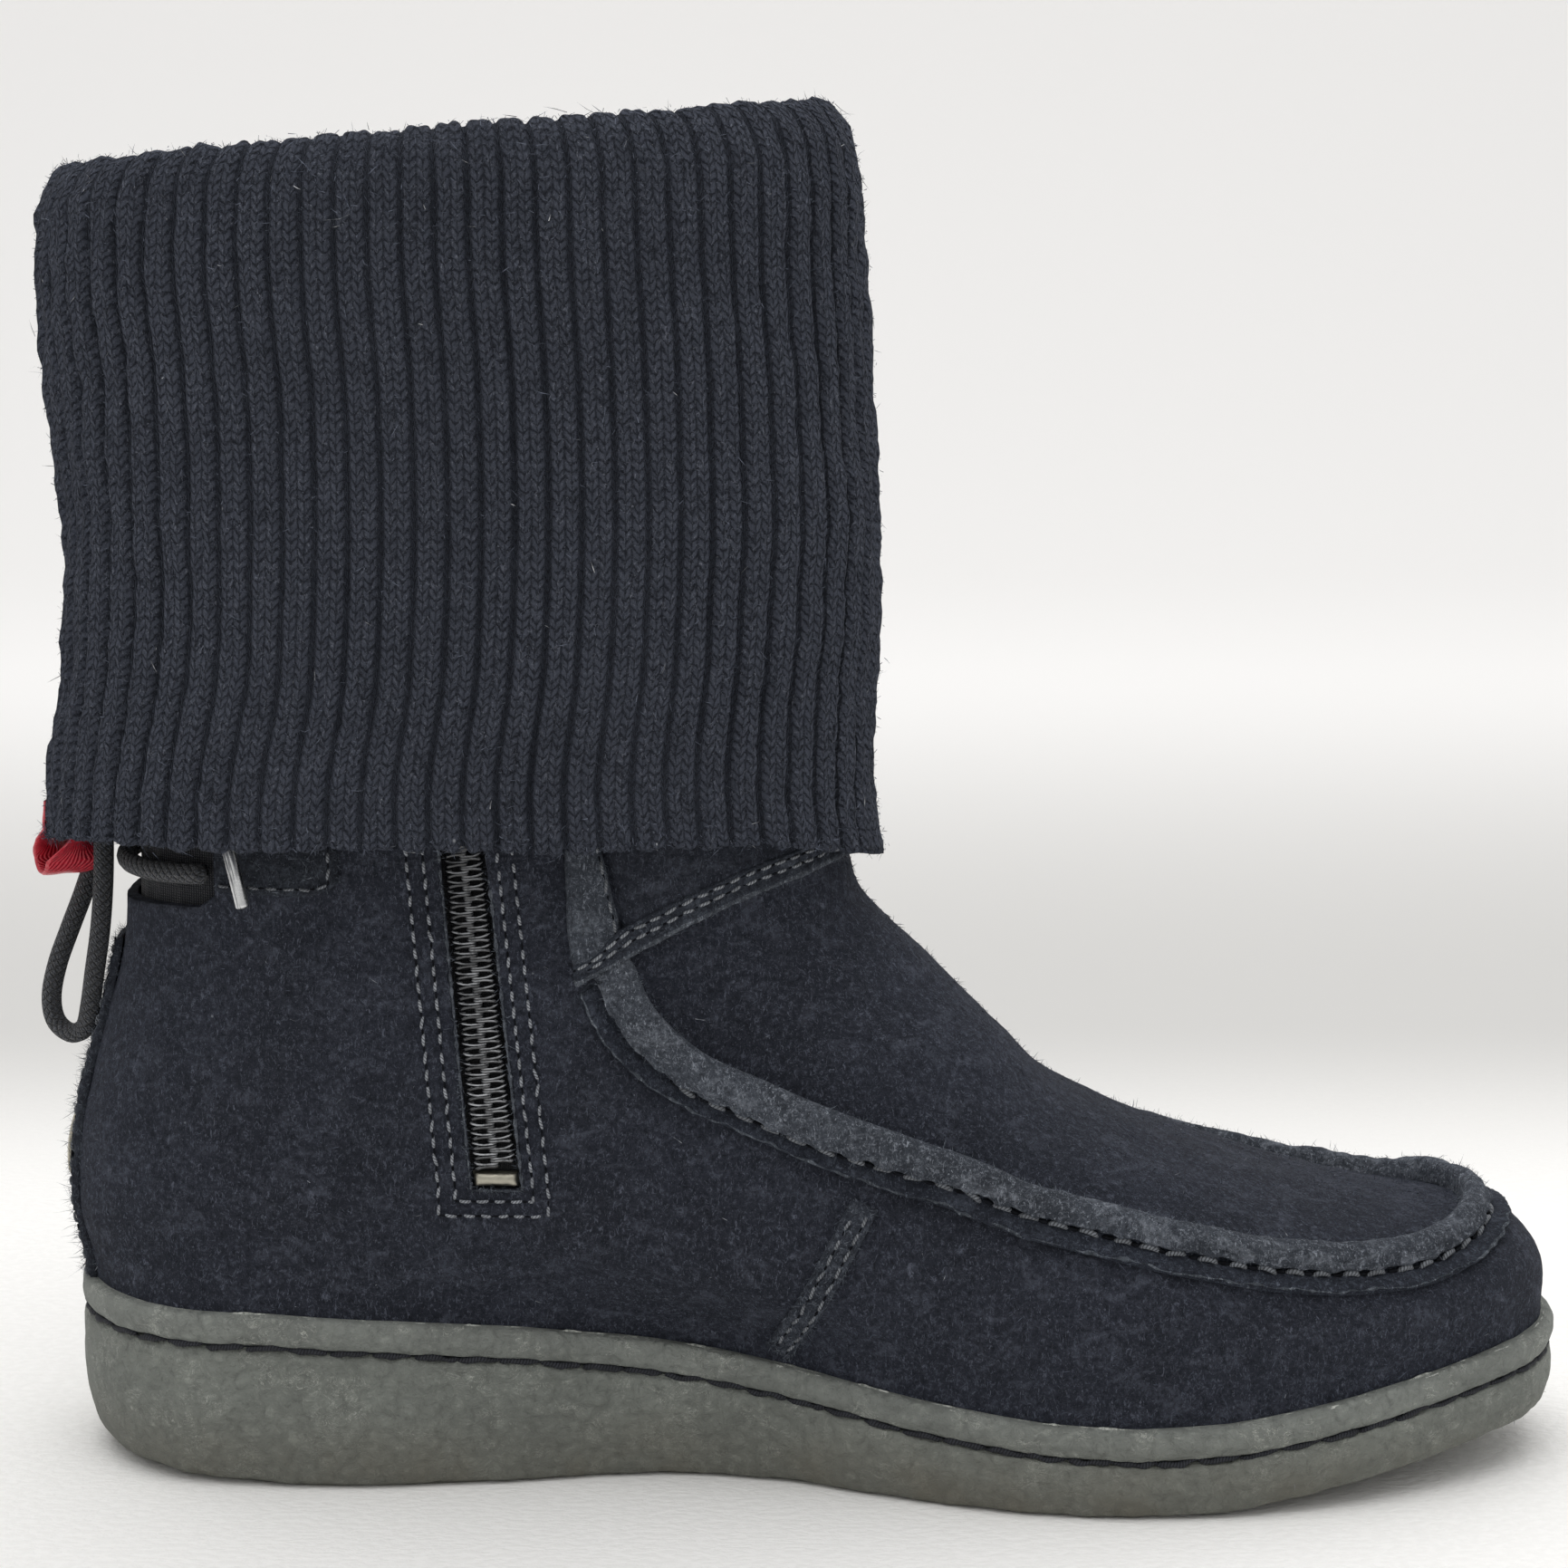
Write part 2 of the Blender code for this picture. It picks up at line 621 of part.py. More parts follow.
def prism(outline, near, far):
    """Points and faces of an (x, z) outline drawn out from y = near to y = far."""
    count = len(outline)
    points = [(x, y, z) for y in (near, far) for x, z in outline]
    faces = [tuple(range(count)), tuple(range(2 * count - 1, count - 1, -1))]
    faces += [(k, k + count, (k + 1) % count + count, (k + 1) % count) for k in range(count)]
    return points, faces


def find_on_side(x, z, side):
    """(row, turn) of the points of the upper's outer face at x and z, on side -1 medial or 1 lateral."""
    x, z = np.broadcast_arrays(np.asarray(x, float), np.asarray(z, float))
    rows = np.linspace(1.0, COLLAR - 0.1, 90)
    turns = -side * np.radians(np.linspace(6, 176, 70))
    grid_row, grid_turn = np.meshgrid(rows, turns, indexing="ij")
    grid = last_point(grid_row, grid_turn).reshape(-1, 3)
    wanted = np.stack([x.ravel(), z.ravel()], -1)
    away = ((wanted[:, None, :] - grid[None, :, ::2]) ** 2).sum(-1)
    nearest = away.argmin(1)
    row, turn = grid_row.ravel()[nearest], grid_turn.ravel()[nearest]
    for _ in range(8):
        point, along, around, _ = last_frame(row, turn)
        miss = wanted - point[:, ::2]
        a, b, c, d = along[:, 0], around[:, 0], along[:, 2], around[:, 2]
        size = a * d - b * c
        row = row + np.clip((d * miss[:, 0] - b * miss[:, 1]) / size, -0.3, 0.3)
        turn = turn + np.clip((a * miss[:, 1] - c * miss[:, 0]) / size, -0.1, 0.1)
        row = np.clip(row, 0.1, COLLAR)
    return row.reshape(x.shape), turn.reshape(x.shape)


def stepped(row, turn, move):
    """(row, turn) after a move in space along the upper's outer face."""
    start = last_point(row, turn)
    for _ in range(3):
        point, along, around, _ = last_frame(row, turn)
        miss = start + move - point
        aa, ab, bb = (along * along).sum(-1), (along * around).sum(-1), (around * around).sum(-1)
        to_a, to_b = (along * miss).sum(-1), (around * miss).sum(-1)
        size = aa * bb - ab * ab
        row = row + (bb * to_a - ab * to_b) / size
        turn = turn + (aa * to_b - ab * to_a) / size
    return row, turn


def sheet_on_last(name, row, turn, low, high, finish):
    """A solid sheet over a grid of (row, turn), from low to high above the upper's outer face."""
    down, across = row.shape
    layers = [on_last(row, turn, np.full(row.shape, out)) for out in (low, high)]
    points = np.concatenate([layer.reshape(-1, 3) for layer in layers])
    size = down * across
    faces = []
    for start in (0, size):
        for i in range(down - 1):
            for j in range(across - 1):
                k = start + i * across + j
                faces.append((k, k + 1, k + across + 1, k + across))
    rim = list(range(across))
    rim += [i * across + across - 1 for i in range(1, down)]
    rim += [(down - 1) * across + j for j in range(across - 2, -1, -1)]
    rim += [i * across for i in range(down - 2, 0, -1)]
    for k, here in enumerate(rim):
        there = rim[(k + 1) % len(rim)]
        faces.append((here, there, size + there, size + here))
    return add_mesh(name, points, faces, finish)


def swept_on_last(name, row, turn, profile, finish):
    """A strip along a path of (row, turn): profile gives each corner's place across and height."""
    point, along, around, normal = last_frame(row, turn)
    ahead = np.gradient(point, axis=0)
    ahead /= np.linalg.norm(ahead, axis=1, keepdims=True)
    across = np.cross(ahead, normal)
    rings = []
    for place, height in profile:
        side_row, side_turn = stepped(row, turn, across * place)
        rings.append(on_last(side_row, side_turn, np.full(row.shape, height)))
    rings = np.array(rings).transpose(1, 0, 2)
    count = len(profile)
    faces = ring_faces(len(rings), count)
    faces.append(tuple(range(count)))
    faces.append(tuple(range((len(rings) - 1) * count, len(rings) * count)))
    return add_mesh(name, rings.reshape(-1, 3), faces, finish)


def cuff_top(x):
    """Height of the fold, lower towards the back."""
    return CUFF_TOP - CUFF_TOP_DROP * (1 - np.clip(x / (0.5 * LENGTH), 0, 1))


def cuff_hem(x):
    """Height of the hem, which dips at the front and at the back."""
    back, front = CUFF_SECTIONS[0][1] * LENGTH, CUFF_SECTIONS[0][2] * LENGTH
    place = np.clip(2 * (x - back) / (front - back) - 1, -1, 1)
    drop = np.where(place > 0, CUFF_HEM_DROP_FRONT, CUFF_HEM_DROP_BACK)
    return CUFF_HEM - drop * place**6


def cuff_point(share, turn, inward):
    """A point of the folded cuff: share of its height, turn round it from the front over the medial side,
    and distance inside its outer face."""
    rows = mirrored_ends(np.array(CUFF_SECTIONS), (-1, -1, -1, -1), (-1, -1, -1, -1))
    places = np.interp(share, rows[1:-1, 0], np.arange(len(CUFF_SECTIONS)))
    q = smooth(rows, places)
    back, front = q[..., 1] * LENGTH, q[..., 2] * LENGTH
    half_length = (front - back) / 2 - inward
    half_width = q[..., 3] * CUFF_HALF_WIDTH - inward
    c, s = np.cos(turn), np.sin(turn)
    grow = (np.abs(c) ** CUFF_SQUARENESS + np.abs(s) ** CUFF_SQUARENESS) ** (-1 / CUFF_SQUARENESS)
    x = (front + back) / 2 + c * grow * half_length
    y = -s * grow * half_width
    return np.stack([x, y, cuff_hem(x) + share * (cuff_top(x) - cuff_hem(x))], -1)


def collar_share(turn):
    """Share of the cuff's height at which its inner layer stands on the collar."""
    collar = last_point(np.full(np.shape(turn), float(COLLAR)), turn)
    hem, top = cuff_hem(collar[..., 0]), cuff_top(collar[..., 0])
    return (collar[..., 2] + 2 * GAP - hem) / (top - hem)


def knit_cuff():
    """The knit: an outer layer from the fold down to the hem, joined at the fold and above the collar
    with an inner layer that stands on the collar."""
    turns = np.arange(CUFF_STEPS_AROUND) * 2 * math.pi / CUFF_STEPS_AROUND
    shares = (0.0, 0.10, 0.25, 0.45, 0.65, 0.82, 0.93)
    both = CUFF_LAYER + CUFF_INNER_LAYER
    start = collar_share(turns)
    rings = [cuff_point(np.full(turns.shape, share), turns, 0.0) for share in shares]
    fold = 5
    for k in range(fold + 1):
        angle = math.pi * k / fold
        inward = both * (1 - math.cos(angle)) / 2
        lift = 0.93 + 0.07 * math.sin(angle)
        rings.append(cuff_point(np.full(turns.shape, lift), turns, inward))
    for share in (0.82, 0.65):
        rings.append(cuff_point(np.full(turns.shape, share), turns, both))
    rings.append(cuff_point(start, turns, both))
    rings.append(cuff_point(start, turns, CUFF_LAYER))
    rings.append(cuff_point(np.full(turns.shape, 0.12), turns, CUFF_LAYER))
    rings.append(cuff_point(np.full(turns.shape, 0.0), turns, CUFF_LAYER))
    rings = np.array(rings)
    return add_mesh(
        "knit_cuff",
        rings.reshape(-1, 3),
        ring_faces(len(rings), CUFF_STEPS_AROUND, closed_along=True),
        material("knit", (0.028, 0.031, 0.040), 1.0),
    )


def suede_edge():
    return material("brushed_suede", (0.055, 0.063, 0.074), 0.95)


def apron_seam():
    """The raised seam round the apron, with the flange that its stitches run through."""
    rows = mirrored_ends(np.array(APRON_SEAM), (1, -1), (-1, -1))
    half = smooth(rows, np.linspace(0, len(APRON_SEAM) - 1, SEAM_STEPS_PER_SIDE + 1))
    path = np.vstack([half[:0:-1] * (1, -1), half])
    foot = -0.5 * RIDGE_WIDTH
    profile = [(foot - FLANGE_WIDTH, GAP), (foot - FLANGE_WIDTH, GAP + 0.8 * OVERLAY)]
    profile += [(place * RIDGE_WIDTH, GAP + height * RIDGE_HEIGHT) for place, height in RIDGE_PROFILE]
    profile[2] = (foot, GAP + OVERLAY)
    profile[-1] = (profile[-1][0], GAP)
    # The seat on the curved upper needs more points than its two corners
    profile += [(place * RIDGE_WIDTH, GAP) for place in SEAT_PLACES]
    return swept_on_last("apron_seam", path[:, 0], np.radians(path[:, 1]), profile, suede_edge())


def throat_panel():
    """The panel over the front of the shaft, lapped over the apron along a slanting edge."""
    edge = np.array(PANEL_EDGE, float)
    side = 64.2
    turns = np.linspace(-side, side, 19)
    low = np.interp(np.abs(turns), edge[:, 0], edge[:, 1])
    share = np.linspace(0, 1, 7)[:, None]
    row = low + share * (HIDDEN_TOP_ROW - low)
    strap = np.array(STRAP_EDGES)
    limit = np.interp(row, strap[:, 0], strap[:, 1]) - 1.6
    turn = np.radians(turns / side * limit)
    finish = material("panel_suede", (0.026, 0.030, 0.040), 0.95)
    return sheet_on_last("throat_panel", row, turn, GAP, GAP + OVERLAY, finish)


def throat_strap(side):
    """The brushed strap at one edge of the throat panel, from under the cuff to the start of the seam."""
    edges = np.array(STRAP_EDGES)
    rows = np.linspace(edges[0, 0], edges[-1, 0], 11)
    front = np.interp(rows, edges[:, 0], edges[:, 1])
    back = np.interp(rows, edges[:, 0], edges[:, 2])
    share = np.linspace(0, 1, 4)
    turn = front[:, None] + share * (back - front)[:, None]
    row = np.repeat(rows[:, None], len(share), axis=1)
    row[0] += 0.16 * (2 * share - 1) ** 2
    name = "throat_strap_medial" if side < 0 else "throat_strap_lateral"
    return sheet_on_last(name, row, -side * np.radians(turn), GAP, GAP + STRAP_THICKNESS, suede_edge())


def side_lap(side):
    """The quarter's front edge, lapped over the vamp and double stitched."""
    step = 360 / UPPER_STEPS_AROUND
    first, last = SIDE_LAP_TURNS
    between = np.arange(math.ceil(first / step), math.floor(last / step) + 1) * step
    turns = -side * np.radians([first, *between, last])
    rows = np.full(turns.shape, SIDE_LAP_ROW)
    half = LAP_WIDTH / 2
    profile = ((-half, GAP), (-half, GAP + OVERLAY), (half, GAP + OVERLAY), (half, GAP), (0.0, GAP))
    name = "side_lap_medial" if side < 0 else "side_lap_lateral"
    made = swept_on_last(name, rows, turns, profile, suede_edge())
    cut(made, bpy.data.objects["cut_under_foot"])
    return made


def heel_strip():
    """The strip up the back of the heel, from the sole to the foot of the window."""
    edges = np.array(HEEL_STRIP_EDGES)
    rows = np.array([row for row in upper_rows() if edges[0, 0] <= row < edges[-1, 0]] + [edges[-1, 0]])
    reach = np.interp(rows, edges[:, 0], edges[:, 1])
    half = np.arange(0, edges[0, 1], 360 / UPPER_STEPS_AROUND) / edges[0, 1]
    share = np.array([*-np.append(half, 1.0)[:0:-1], *half, 1.0])
    turn = math.pi - np.radians(reach[:, None] * share)
    row = np.repeat(rows[:, None], len(share), axis=1)
    finish = material("strip_suede", (0.026, 0.030, 0.040), 0.95)
    made = sheet_on_last("heel_strip", row, turn, 1.4 * GAP, 1.4 * GAP + OVERLAY, finish)
    cut(made, bpy.data.objects["cut_under_foot"])
    return made


def heel_badge():
    """A bare oval plate of pale metal on the heel strip."""
    centre_row = 15.36
    centre = last_point(centre_row, math.pi)
    back_rows = np.linspace(14, 16.5, 60)
    back_z = last_point(back_rows, np.full(back_rows.shape, math.pi))[:, 2]
    rings = []
    count = 16
    for share in (1.0, 0.75, 0.4):
        angle = np.arange(count) * 2 * math.pi / count
        z = centre[2] + share * BADGE_HEIGHT / 2 * np.sin(angle)
        y = share * BADGE_WIDTH / 2 * np.cos(angle)
        row = np.interp(z, back_z, back_rows)
        turn = np.full(row.shape, math.pi)
        for _ in range(6):
            point, _, around, _ = last_frame(row, turn)
            turn = turn + (y - point[:, 1]) / around[:, 1]
        rings.append((row, turn))
    low = 2.4 * GAP + OVERLAY
    layers = [(0, low), (0, low + 0.6 * BADGE_THICKNESS), (1, low + BADGE_THICKNESS), (2, low + BADGE_THICKNESS)]
    points = [on_last(*rings[k], np.full(count, out)) for k, out in layers]
    inner = on_last(*rings[2], np.full(count, low))
    loops = np.array([inner] + points)
    faces = ring_faces(len(loops), count)
    faces.append(tuple(range(count)))
    faces.append(tuple(range(4 * count, 5 * count)))
    return add_mesh("heel_badge", loops.reshape(-1, 3), faces, material("badge_metal", (0.62, 0.60, 0.55), 0.35, 1.0))


def heel_gusset():
    """The knit panel that closes the heel window from inside."""
    margin = 0.005
    zs = np.linspace(WINDOW_FOOT - margin, WINDOW_FOOT + WINDOW_HEIGHT + margin, 5)
    row_side, turn_side = find_on_side(np.full(zs.shape, WINDOW_FRONT + margin), zs, -1)
    back_rows = np.linspace(17.5, 20.6, 80)
    back_z = last_point(back_rows, np.full(back_rows.shape, math.pi))[:, 2]
    row_back = np.interp(zs, back_z, back_rows)
    share = np.linspace(-1, 1, 15)
    row = row_back[:, None] + (row_side - row_back)[:, None] * share**2
    turn = math.pi - (math.pi - turn_side)[:, None] * share
    high = -(WALL + 2 * GAP)
    finish = material("gusset_knit", (0.02, 0.022, 0.028), 1.0)
    return sheet_on_last("heel_gusset", row, turn, high - GUSSET_THICKNESS, high, finish)


def zip_strip(name, width, start, end, low, high, steps, finish):
    """A straight strip that lies along the zip from one share of its length to another."""
    shares = np.linspace(start, end, steps)
    x, z = zip_line(shares[:, None])
    across = np.linspace(-width / 2, width / 2, 5)
    row, turn = find_on_side(x + across, z + 0 * across, -1)
    return sheet_on_last(name, row, turn, low, high, finish)


def zip_pieces():
    """The zip in its slot: tape inside the wall, coil, bottom stop, and the slider that waits at the top."""
    length = math.dist(ZIP_FOOT, ZIP_HEAD)
    tape_top = -(WALL + GAP)
    black = material("zip_tape", (0.012, 0.012, 0.014), 0.9)
    tape = zip_strip("zip_tape", ZIP_TAPE_WIDTH, -0.05, 0.985, tape_top - ZIP_TAPE_THICKNESS, tape_top, 14, black)
    stop_start = GAP * 1.5 / length
    stop_end = stop_start + ZIP_STOP_LENGTH / length
    pale = material("zip_stop_metal", (0.42, 0.40, 0.36), 0.45, 1.0)
    seat = tape_top + GAP
    stop_width = ZIP_SLOT_FOOT_WIDTH - 3 * GAP
    stop = zip_strip("zip_stop", stop_width, stop_start, stop_end, seat, seat + ZIP_COIL_HEIGHT, 2, pale)
    slider_length = 0.009
    slider_start = 0.97 - slider_length / length
    coil = zip_strip(
        "zip_coil",
        ZIP_COIL_WIDTH,
        stop_end + 1.5 * GAP / length,
        slider_start - 1.5 * GAP / length,
        seat,
        seat + ZIP_COIL_HEIGHT,
        14,
        material("zip_coil", (0.010, 0.010, 0.012), 0.35),
    )
    slider_width = ZIP_SLOT_HEAD_WIDTH - 3 * GAP
    dark = material("slider_metal", (0.10, 0.10, 0.11), 0.4, 1.0)
    slider = zip_strip(
        "zip_slider", slider_width, slider_start, 0.97, seat, seat + 1.6 * ZIP_COIL_HEIGHT, 3, dark
    )
    return [tape, stop, coil, slider]


def lace_tab(side):
    """The rounded patch that the lace runs under, beside the heel window."""
    across = np.array([0, 0.2, 0.4, 0.6, 0.75, 0.9, 1.0])
    up = np.linspace(0, 1, 5)
    x = WINDOW_FRONT + 2 * GAP + across * LACE_TAB_LENGTH
    place = np.repeat(across[None, :], len(up), axis=0)
    rounding = np.sqrt(np.clip(1 - np.clip((place - 0.7) / 0.3, 0, 1) ** 2 * 0.75, 0, 1))
    middle = WINDOW_FOOT + LACE_TAB_RISE + LACE_TAB_HEIGHT / 2
    z = middle + (up[:, None] - 0.5) * LACE_TAB_HEIGHT * rounding
    row, turn = find_on_side(np.repeat(x[None, :], len(up), axis=0), z, side)
    name = "lace_tab_medial" if side < 0 else "lace_tab_lateral"
    finish = material("tab_suede", (0.026, 0.030, 0.040), 0.95)
    return sheet_on_last(name, row, turn, GAP, GAP + OVERLAY, finish)


def lace_bar():
    """The stretch of cord that crosses the heel window from tab to tab."""
    height = WINDOW_FOOT + 0.0070
    back_rows = np.linspace(17.5, 20.0, 60)
    back_z = last_point(back_rows, np.full(back_rows.shape, math.pi))[:, 2]
    row_end, turn_end = find_on_side(np.array([WINDOW_FRONT - 4 * GAP]), np.array([height]), -1)
    share = np.linspace(-1, 1, 17)
    row_back = np.interp(height, back_z, back_rows)
    row = row_back + (row_end[0] - row_back) * share**2
    turn = math.pi - (math.pi - turn_end[0]) * share
    points = on_last(row, turn, np.zeros(share.shape))
    return round_cord("lace_bar", points, CORD)


def smooth_route(points, spacing):
    """Points at an even spacing on the smooth curve through a route's own points."""
    rows = np.array(points, float)
    rows = np.vstack([2 * rows[0] - rows[1], rows, 2 * rows[-1] - rows[-2]])
    fine = smooth(rows, np.linspace(0, len(points) - 1, 400))
    lengths = np.concatenate([[0], np.cumsum(np.linalg.norm(np.diff(fine, axis=0), axis=1))])
    count = max(3, round(lengths[-1] / spacing) + 1)
    at = np.linspace(0, lengths[-1], count)
    return np.stack([np.interp(at, lengths, fine[:, axis]) for axis in range(3)], -1)


def cord_finish():
    return bpy.data.materials.get("black_cord") or material("black_cord", (0.012, 0.012, 0.014), 0.85)


def round_cord(name, points, diameter, finish=None):
    """A round tube through the points."""
    curve = bpy.data.curves.new(name, "CURVE")
    curve.dimensions = "3D"
    curve.bevel_depth = diameter / 2
    curve.bevel_resolution = 2
    curve.use_fill_caps = True
    spline = curve.splines.new("POLY")
    spline.points.add(len(points) - 1)
    for target, point in zip(spline.points, points):
        target.co = (*point, 1.0)
    curve.materials.append(finish or cord_finish())
    made = bpy.data.objects.new(name, curve)
    bpy.context.scene.collection.objects.link(made)
    return made


def turned(name, centre, profile, finish, steps=12):
    """A solid of revolution about a vertical axis: profile gives (radius, height) from foot to head."""
    angle = np.arange(steps) * 2 * math.pi / steps
    rings = []
    for radius, height in profile:
        ring = np.stack([radius * np.cos(angle), radius * np.sin(angle), np.full(steps, height)], -1)
        rings.append(ring + np.array(centre))
    faces = ring_faces(len(rings), steps)
    faces.append(tuple(range(steps)))
    faces.append(tuple(range((len(rings) - 1) * steps, len(rings) * steps)))
    return add_mesh(name, np.vstack(rings), faces, finish)


def lacing():
    """The hanging loop, its knot under the cuff, and the end with its metal tag."""
    spacing = 2.2 * CORD
    loop = round_cord("lace_loop", smooth_route(LOOP_ROUTE, spacing / 2), CORD)
    end = round_cord("lace_end", smooth_route(END_ROUTE, spacing / 2), CORD)
    silver = material("tag_metal", (0.65, 0.65, 0.66), 0.3, 1.0)
    head = np.array(END_ROUTE[-1]) + (0.0002, -0.0002, -GAP * 2.2)
    tag = round_cord("lace_tag", np.linspace(head, np.array(TAG_FOOT), 3), TAG, silver)
    rise_of_knot = KNOT / 2
    profile = [
        (rise_of_knot * math.sin(angle), -rise_of_knot * 0.9 * math.cos(angle))
        for angle in np.linspace(0.45, math.pi - 0.45, 7)
    ]
    centre = np.array(KNOT_CENTRE)
    knot = turned("lace_knot", centre, profile, cord_finish())
    return [loop, knot, end, tag]


def red_tab():
    """A bare folded ribbon round the hem at the back of the cuff."""
    hem = float(cuff_hem(CUFF_SECTIONS[0][1] * LENGTH))
    legs = []
    for out in (GAP, GAP + TAB_RIBBON):
        shares = np.linspace(0.06, 0.0, 3)
        outer = [cuff_point(share, math.pi, -out) for share in shares]
        inner = [cuff_point(share, math.pi, CUFF_LAYER + 0.0010 + out) for share in shares[::-1]]
        drop = 0.0058
        bow = []
        first, last = outer[-1], inner[0]
        for angle in np.linspace(0, math.pi, 9):
            place = (1 - math.cos(angle)) / 2
            x = first[0] + place * (last[0] - first[0])
            depth = (drop + out) * math.sin(angle) ** 0.6
            bow.append((x, 0.0, hem - depth))
        route = [(p[0], 0.0, p[2]) for p in outer[:-1]] + bow + [(p[0], 0.0, p[2]) for p in inner[1:]]
        legs.append(route)
    outline = [(x, z) for x, _, z in legs[1]] + [(x, z) for x, _, z in reversed(legs[0])]
    points, faces = prism(outline, -TAB_WIDTH / 2, TAB_WIDTH / 2)
    count = len(outline)
    half = count // 2
    faces = faces[2:]
    for start in (0, count):
        faces += [(start + k, start + k + 1, start + count - 2 - k, start + count - 1 - k) for k in range(half - 1)]
    return add_mesh("red_tab", points, faces, material("red_ribbon", (0.30, 0.012, 0.022), 0.35))


def centre_over_origin(pieces):
    """Moves the whole boot so that the box of these mesh pieces is centred over the origin, on the floor."""
    bpy.context.view_layer.update()
    graph = bpy.context.evaluated_depsgraph_get()
    corners = []
    for piece in pieces:
        shape = piece.evaluated_get(graph)
        corners += [shape.matrix_world @ Vector(corner) for corner in shape.bound_box]
    low = Vector(min(corner[axis] for corner in corners) for axis in range(3))
    high = Vector(max(corner[axis] for corner in corners) for axis in range(3))
    middle = (low + high) / 2
    for piece in bpy.context.scene.objects:
        piece.location -= Vector((middle.x, middle.y, low.z))


def main():
    for old in list(bpy.data.objects):
        bpy.data.objects.remove(old)
    pieces = [outsole(), midsole(), insole(), upper(), knit_cuff(), apron_seam(), throat_panel()]
    pieces += [throat_strap(-1), throat_strap(1), side_lap(-1), side_lap(1), heel_strip(), heel_badge()]
    pieces += [heel_gusset(), lace_tab(-1), lace_tab(1), red_tab()]
    pieces += zip_pieces()
    lace_bar()
    lacing()
    centre_over_origin(pieces)


main()
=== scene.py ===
"""Dressed scene of the left suede boot: camera, light, and the fine pieces that stand for its solids.

Metres, in the row frame. The boot's surfaces are worked out in the frame of its source, with x = 0 at the
back of the sole, and PLACE moves them to the row frame.
"""

import math

import bpy
import numpy as np
from mathutils import Euler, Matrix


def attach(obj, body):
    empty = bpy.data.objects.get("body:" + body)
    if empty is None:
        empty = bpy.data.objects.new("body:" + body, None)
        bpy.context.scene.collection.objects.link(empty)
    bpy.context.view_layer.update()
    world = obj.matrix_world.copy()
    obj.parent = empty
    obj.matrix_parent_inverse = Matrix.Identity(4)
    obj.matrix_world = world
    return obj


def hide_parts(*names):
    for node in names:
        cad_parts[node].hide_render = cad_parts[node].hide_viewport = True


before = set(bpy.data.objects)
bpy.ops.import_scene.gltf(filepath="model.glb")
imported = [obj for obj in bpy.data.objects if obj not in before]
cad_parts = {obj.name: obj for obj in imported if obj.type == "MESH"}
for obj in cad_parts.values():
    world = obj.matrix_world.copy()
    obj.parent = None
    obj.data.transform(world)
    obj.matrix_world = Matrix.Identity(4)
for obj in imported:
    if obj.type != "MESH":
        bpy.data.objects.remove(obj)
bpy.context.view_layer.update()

PLACE = np.array((-0.134162, 0.001194, 0.0))

# Driving sizes of the boot
LENGTH = 0.276
BALL_WIDTH = 0.098
HEEL_HEIGHT = 0.0330
FOREFOOT_HEIGHT = 0.0165
TOE_SPRING = 0.009
INSTEP_HEIGHT = 0.083
SHAFT_HEIGHT = 0.050
BAND_HEIGHT = 0.006
WALL = 0.002
LEDGE = 0.0016
GAP = 0.0003

# Sole
SOLE_BULGE = 0.0008
SOLE_EDGE_ROUND = 0.0030
HEEL_UNDERCUT = 0.0075
HEEL_UNDERCUT_REACH = 0.045
FEATHER_REACH = 0.018
# Folded knit cuff
CUFF_TOP = 0.2475
CUFF_TOP_DROP = 0.0115
CUFF_HEM = 0.1180
CUFF_HEM_DROP_FRONT = 0.0065
CUFF_HEM_DROP_BACK = 0.0040
CUFF_LAYER = 0.0042
CUFF_INNER_LAYER = 0.0040
CUFF_HALF_WIDTH = 0.4184 * BALL_WIDTH
CUFF_SQUARENESS = 2.45
# Suede laid over the upper
OVERLAY = 0.0011
STRAP_THICKNESS = 0.0017
RIDGE_HEIGHT = 0.0042
RIDGE_WIDTH = 0.0068
FLANGE_WIDTH = 0.0034
LAP_WIDTH = 0.0052
LACE_TAB_LENGTH = 0.0222
LACE_TAB_HEIGHT = 0.0108
# From the window's foot up to the patch's own
LACE_TAB_RISE = 0.0040
# Side zip, as it lies on the medial side
ZIP_FOOT = (0.0798, 0.0562)
ZIP_HEAD = (0.0712, 0.1500)
ZIP_SLOT_FOOT_WIDTH = 0.0088
ZIP_SLOT_HEAD_WIDTH = 0.0076
ZIP_TAPE_WIDTH = 0.021
ZIP_TAPE_THICKNESS = 0.0007
ZIP_COIL_HEIGHT = 0.0021
ZIP_STOP_LENGTH = 0.0026
# Heel window and its lacing
WINDOW_FRONT = 0.0295
WINDOW_FOOT = HEEL_HEIGHT + 0.863 * INSTEP_HEIGHT
WINDOW_HEIGHT = 0.48 * SHAFT_HEIGHT
CORD = 0.0037
TAG = 0.0025
TAB_RIBBON = 0.0010
TAB_WIDTH = 0.011

# Outline of the sole, heel to toe: place along as a share of LENGTH, then how far the medial and the
# lateral edge lie from the centre line as shares of BALL_WIDTH.
OUTLINE = (
    (0.0000, 0.000, 0.000),
    (0.0095, 0.133, 0.133),
    (0.0365, 0.245, 0.243),
    (0.0760, 0.320, 0.318),
    (0.1300, 0.350, 0.350),
    (0.2100, 0.356, 0.362),
    (0.3000, 0.327, 0.370),
    (0.3900, 0.287, 0.384),
    (0.4700, 0.320, 0.412),
    (0.5500, 0.415, 0.452),
    (0.6250, 0.487, 0.482),
    (0.6950, 0.513, 0.488),
    (0.7650, 0.500, 0.460),
    (0.8300, 0.455, 0.425),
    (0.8860, 0.385, 0.362),
    (0.9320, 0.303, 0.282),
    (0.9660, 0.226, 0.196),
    (0.9865, 0.134, 0.092),
    (0.9940, 0.022, -0.022),
)

